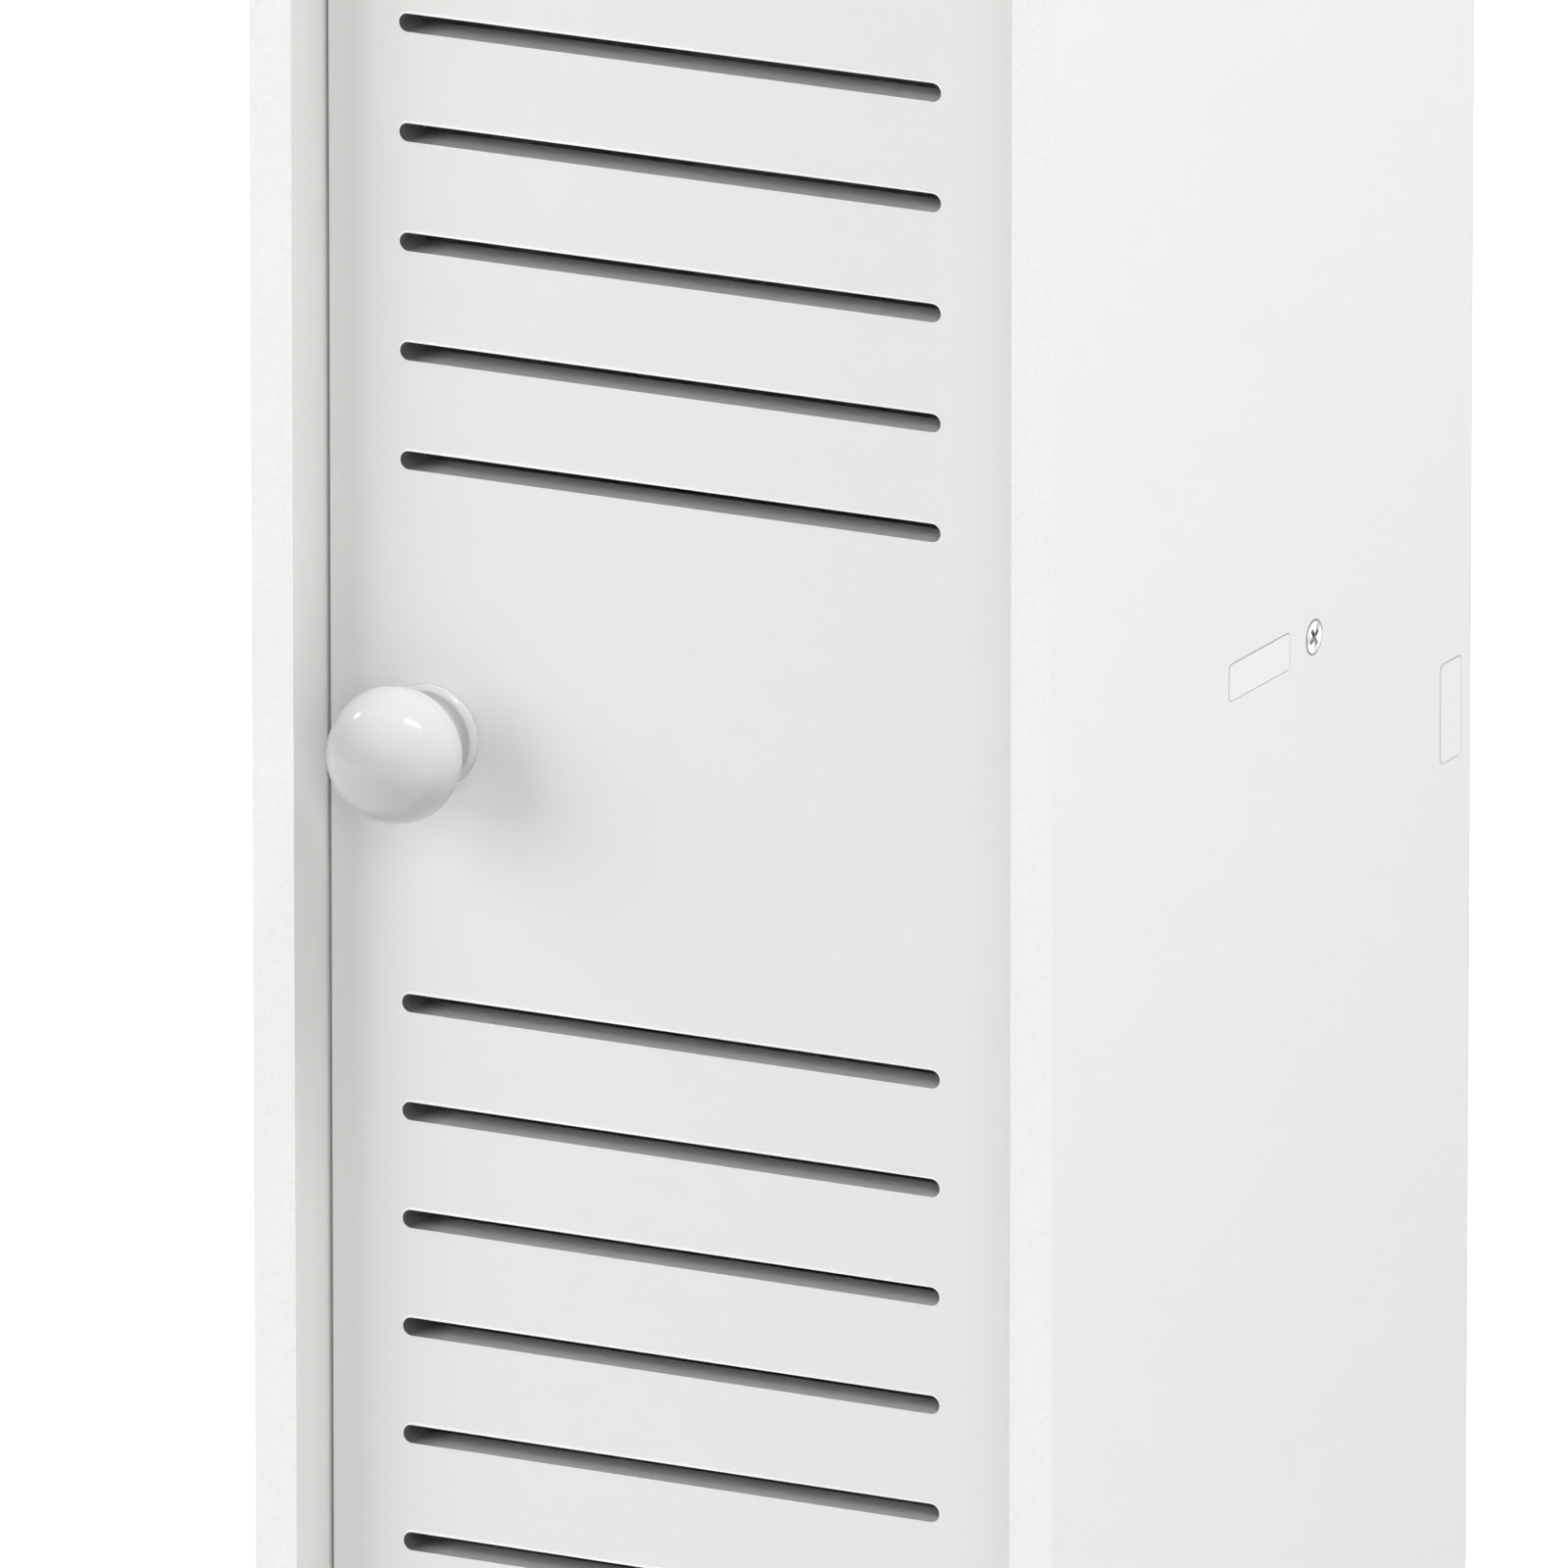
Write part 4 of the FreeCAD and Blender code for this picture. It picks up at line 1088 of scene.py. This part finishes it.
class CABINET_OT_finish_fittings(bpy.types.Operator):
    """Give the screws, pins, bushes, catch and glides their metals and plastics"""

    bl_idname = "cabinet.finish_fittings"
    bl_label = "Finish the Fittings"

    def execute(self, context):
        fitting = context.scene.cabinet_fitting
        steel = metal_finish("zinc_plated_steel", fitting.steel, 0.24)
        nylon = moulded_finish("moulded_nylon", fitting.nylon, 0.42)
        for name in STEEL_PIECES:
            wear(NODES[name], steel)
        for name, axis in SUNK_SCREWS.items():
            wear(NODES[name], screw_finish(name, axis, fitting.steel))
        for name in NYLON_PIECES:
            wear(NODES[name], nylon)
        wear(NODES["knob_insert"], metal_finish("turned_brass", fitting.brass, 0.3))
        wear(NODES["catch_magnet"], moulded_finish("pressed_ferrite", fitting.ferrite, 0.55))
        return {"FINISHED"}


# ---------------------------------------------------------------- studio

# The point that the soft boxes are aimed at.
MIDDLE = Vector((0.0, 0.0, 0.45))
# Distance from which on the floor is as white as the room.
FAR_FLOOR = 2.0
# Half the floor's width.
FLOOR_REACH = 8.0
# Size of the floor's mottle.
MOTTLE = 0.08
# The soft boxes, in degrees and metres.
SOFT_BOXES = (
    # name, setting of its power, mirrored, turn, lift, distance, width, height, roll
    ("key_box", "key", False, -48, 20, 2.4, 2.0, 2.0, 0),
    ("front_box", "front", False, 35, 20, 2.4, 1.6, 1.6, 0),
    ("side_box", "side", False, 90, 14, 2.4, 1.2, 1.2, 0),
    ("back_box", "back", False, 180, 2, 2.4, 1.6, 1.6, 0),
    ("high_strip", "strip", True, 84, 58, 2.2, 0.25, 1.2, 35),
    ("glint_box", "glint", True, -89, 35, 2.2, 0.35, 0.35, 0),
)
# The knob's own lamp: turn and lift in degrees, distance from the knob and radius.
KNOB_LAMP_TURN, KNOB_LAMP_LIFT = 110, 58
KNOB_LAMP_DISTANCE = 1.1
KNOB_LAMP_RADIUS = 0.1
# The point that the camera looks at, in the plane of the side panels' front edges.
AIM_ACROSS = 33.3 * MM
AIM_UP = 425.6 * MM
# How far the camera sees.
SIGHT = 100


def seen_share(recipe):
    """Give 1 for rays from the camera, in reflections or through glass, and 0 for light."""
    rays = [
        recipe.add("ShaderNodeLightPath", output=name)
        for name in ("Is Camera Ray", "Is Glossy Ray", "Is Transmission Ray")
    ]
    return rays[0] + rays[1] + rays[2] > 0.5


def light_room(studio):
    """Surround the object with even light, and show the room as plain white."""
    world = bpy.data.worlds.new("studio_light")
    world.use_nodes = True
    bpy.context.scene.world = world
    recipe = Recipe(world.node_tree)
    seen = seen_share(recipe)
    strength = seen + (1 - seen) * studio.ambient
    light = recipe.add("ShaderNodeBackground", inputs={"Color": (1, 1, 1, 1), "Strength": strength})
    recipe.add("ShaderNodeOutputWorld", inputs={"Surface": light})


def lay_floor(studio):
    """Lay a pale floor that looks white away from the object's shadow."""
    material, recipe = new_finish("pale_floor")
    mottle = recipe.grain(recipe.place(), MOTTLE)
    base = recipe.tint(mottle, scaled(studio.floor, 0.985), studio.floor)
    matt = recipe.add("ShaderNodeBsdfDiffuse", inputs={"Color": base})
    where = recipe.parts(recipe.place())
    squared = where[0] * where[0] + where[1] * where[1]
    away = recipe.maths("MINIMUM", squared * (1 / FAR_FLOOR**2), 1)
    strength = seen_share(recipe) * (studio.floor_glow + (1 - studio.floor_glow) * away)
    glow = recipe.add("ShaderNodeEmission", inputs={"Strength": strength})
    both = recipe.add("ShaderNodeAddShader", inputs={0: matt, 1: glow})
    recipe.add("ShaderNodeOutputMaterial", inputs={"Surface": both})
    made = bmesh.new()
    corners = [(-1, -1), (1, -1), (1, 1), (-1, 1)]
    made.faces.new([made.verts.new((x * FLOOR_REACH, y * FLOOR_REACH, 0.0)) for x, y in corners])
    floor = new_piece("floor", made)
    wear(floor, material)


def bearing(turn, lift):
    """Give the direction that lies turn to the right of the front and lift above the horizon."""
    level = math.cos(lift)
    return Vector((math.sin(turn) * level, -math.cos(turn) * level, math.sin(lift)))


def add_soft_box(name, power, mirrored, turn, lift, distance, width, height, roll):
    """Hang a soft box in a direction from the middle of the object, and point it there."""
    lamp = bpy.data.lights.new(name, "AREA")
    lamp.shape = "RECTANGLE"
    lamp.size = width
    lamp.size_y = height
    lamp.energy = power
    out = bearing(math.radians(turn), math.radians(lift))
    box = bpy.data.objects.new(name, lamp)
    box.location = MIDDLE + distance * out
    box.rotation_mode = "QUATERNION"
    spin = Quaternion((0, 0, 1), math.radians(roll))
    box.rotation_quaternion = out.to_track_quat("Z", "Y") @ spin
    box.visible_glossy = mirrored
    bpy.context.scene.collection.objects.link(box)


def light_knob(power):
    """Hang a lamp on the right that only the knob receives, which lifts its dark glaze."""
    low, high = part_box("door_knob")
    lamp = bpy.data.lights.new("knob_lamp", "POINT")
    lamp.energy = power
    lamp.shadow_soft_size = KNOB_LAMP_RADIUS
    point = bpy.data.objects.new("knob_lamp", lamp)
    out = bearing(math.radians(KNOB_LAMP_TURN), math.radians(KNOB_LAMP_LIFT))
    point.location = (low + high) / 2 + KNOB_LAMP_DISTANCE * out
    point.visible_glossy = False
    lit = bpy.data.collections.new("knob_lamp_lit")
    lit.objects.link(bpy.data.objects["ceramic_knob"])
    point.light_linking.receiver_collection = lit
    point.light_linking.blocker_collection = lit
    bpy.context.scene.collection.objects.link(point)


def set_camera(studio):
    """Stand the camera to the right of the front and above, far off with a long lens."""
    aim = Vector((AIM_ACROSS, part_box("right_side_panel")[0].y, AIM_UP))
    back = bearing(studio.azimuth, studio.elevation)
    camera = bpy.data.objects.new("camera", bpy.data.cameras.new("camera"))
    camera.data.lens = studio.lens
    camera.data.clip_end = SIGHT
    camera.location = aim + studio.distance * back
    camera.rotation_mode = "QUATERNION"
    camera.rotation_quaternion = back.to_track_quat("Z", "Y")
    bpy.context.scene.collection.objects.link(camera)
    bpy.context.scene.camera = camera


class CABINET_OT_set_studio(bpy.types.Operator):
    """Lay the floor, light the object and stand the camera"""

    bl_idname = "cabinet.set_studio"
    bl_label = "Set the Studio"

    def execute(self, context):
        studio = context.scene.cabinet_studio
        light_room(studio)
        lay_floor(studio)
        for name, setting, *hung in SOFT_BOXES:
            add_soft_box(name, getattr(studio, setting), *hung)
        light_knob(studio.knob)
        set_camera(studio)
        context.scene.view_settings.view_transform = "Standard"
        return {"FINISHED"}


# ---------------------------------------------------------------- add-on

SETTINGS = {
    "cabinet_board": BoardSettings,
    "cabinet_lip": LipSettings,
    "cabinet_seam": SeamSettings,
    "cabinet_knob": KnobSettings,
    "cabinet_fitting": FittingSettings,
    "cabinet_studio": StudioSettings,
}
STEPS = (
    CABINET_OT_finish_boards,
    CABINET_OT_raise_lips,
    CABINET_OT_lay_seams,
    CABINET_OT_turn_knob,
    CABINET_OT_finish_fittings,
    CABINET_OT_set_studio,
)


class CABINET_PT_sidebar(bpy.types.Panel):
    """The cabinet's steps and settings"""

    bl_label = "Louvred Door Cabinet"
    bl_idname = "CABINET_PT_sidebar"
    bl_space_type = "VIEW_3D"
    bl_region_type = "UI"
    bl_category = "Cabinet"

    def draw(self, context):
        for step in STEPS:
            self.layout.operator(step.bl_idname)
        for name, kind in SETTINGS.items():
            box = self.layout.box()
            for field in kind.__annotations__:
                box.prop(getattr(context.scene, name), field)


def register():
    """Register the settings, the steps and the panel."""
    for name, kind in SETTINGS.items():
        bpy.utils.register_class(kind)
        setattr(bpy.types.Scene, name, bpy.props.PointerProperty(type=kind))
    for kind in (*STEPS, CABINET_PT_sidebar):
        bpy.utils.register_class(kind)


def unregister():
    """Take away what register added."""
    for kind in (CABINET_PT_sidebar, *STEPS):
        bpy.utils.unregister_class(kind)
    for name, kind in SETTINGS.items():
        delattr(bpy.types.Scene, name)
        bpy.utils.unregister_class(kind)


def main():
    """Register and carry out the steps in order."""
    register()
    bpy.ops.cabinet.finish_boards()
    bpy.ops.cabinet.raise_lips()
    bpy.ops.cabinet.lay_seams()
    bpy.ops.cabinet.turn_knob()
    bpy.ops.cabinet.finish_fittings()
    bpy.ops.cabinet.set_studio()


if __name__ == "__main__":
    main()
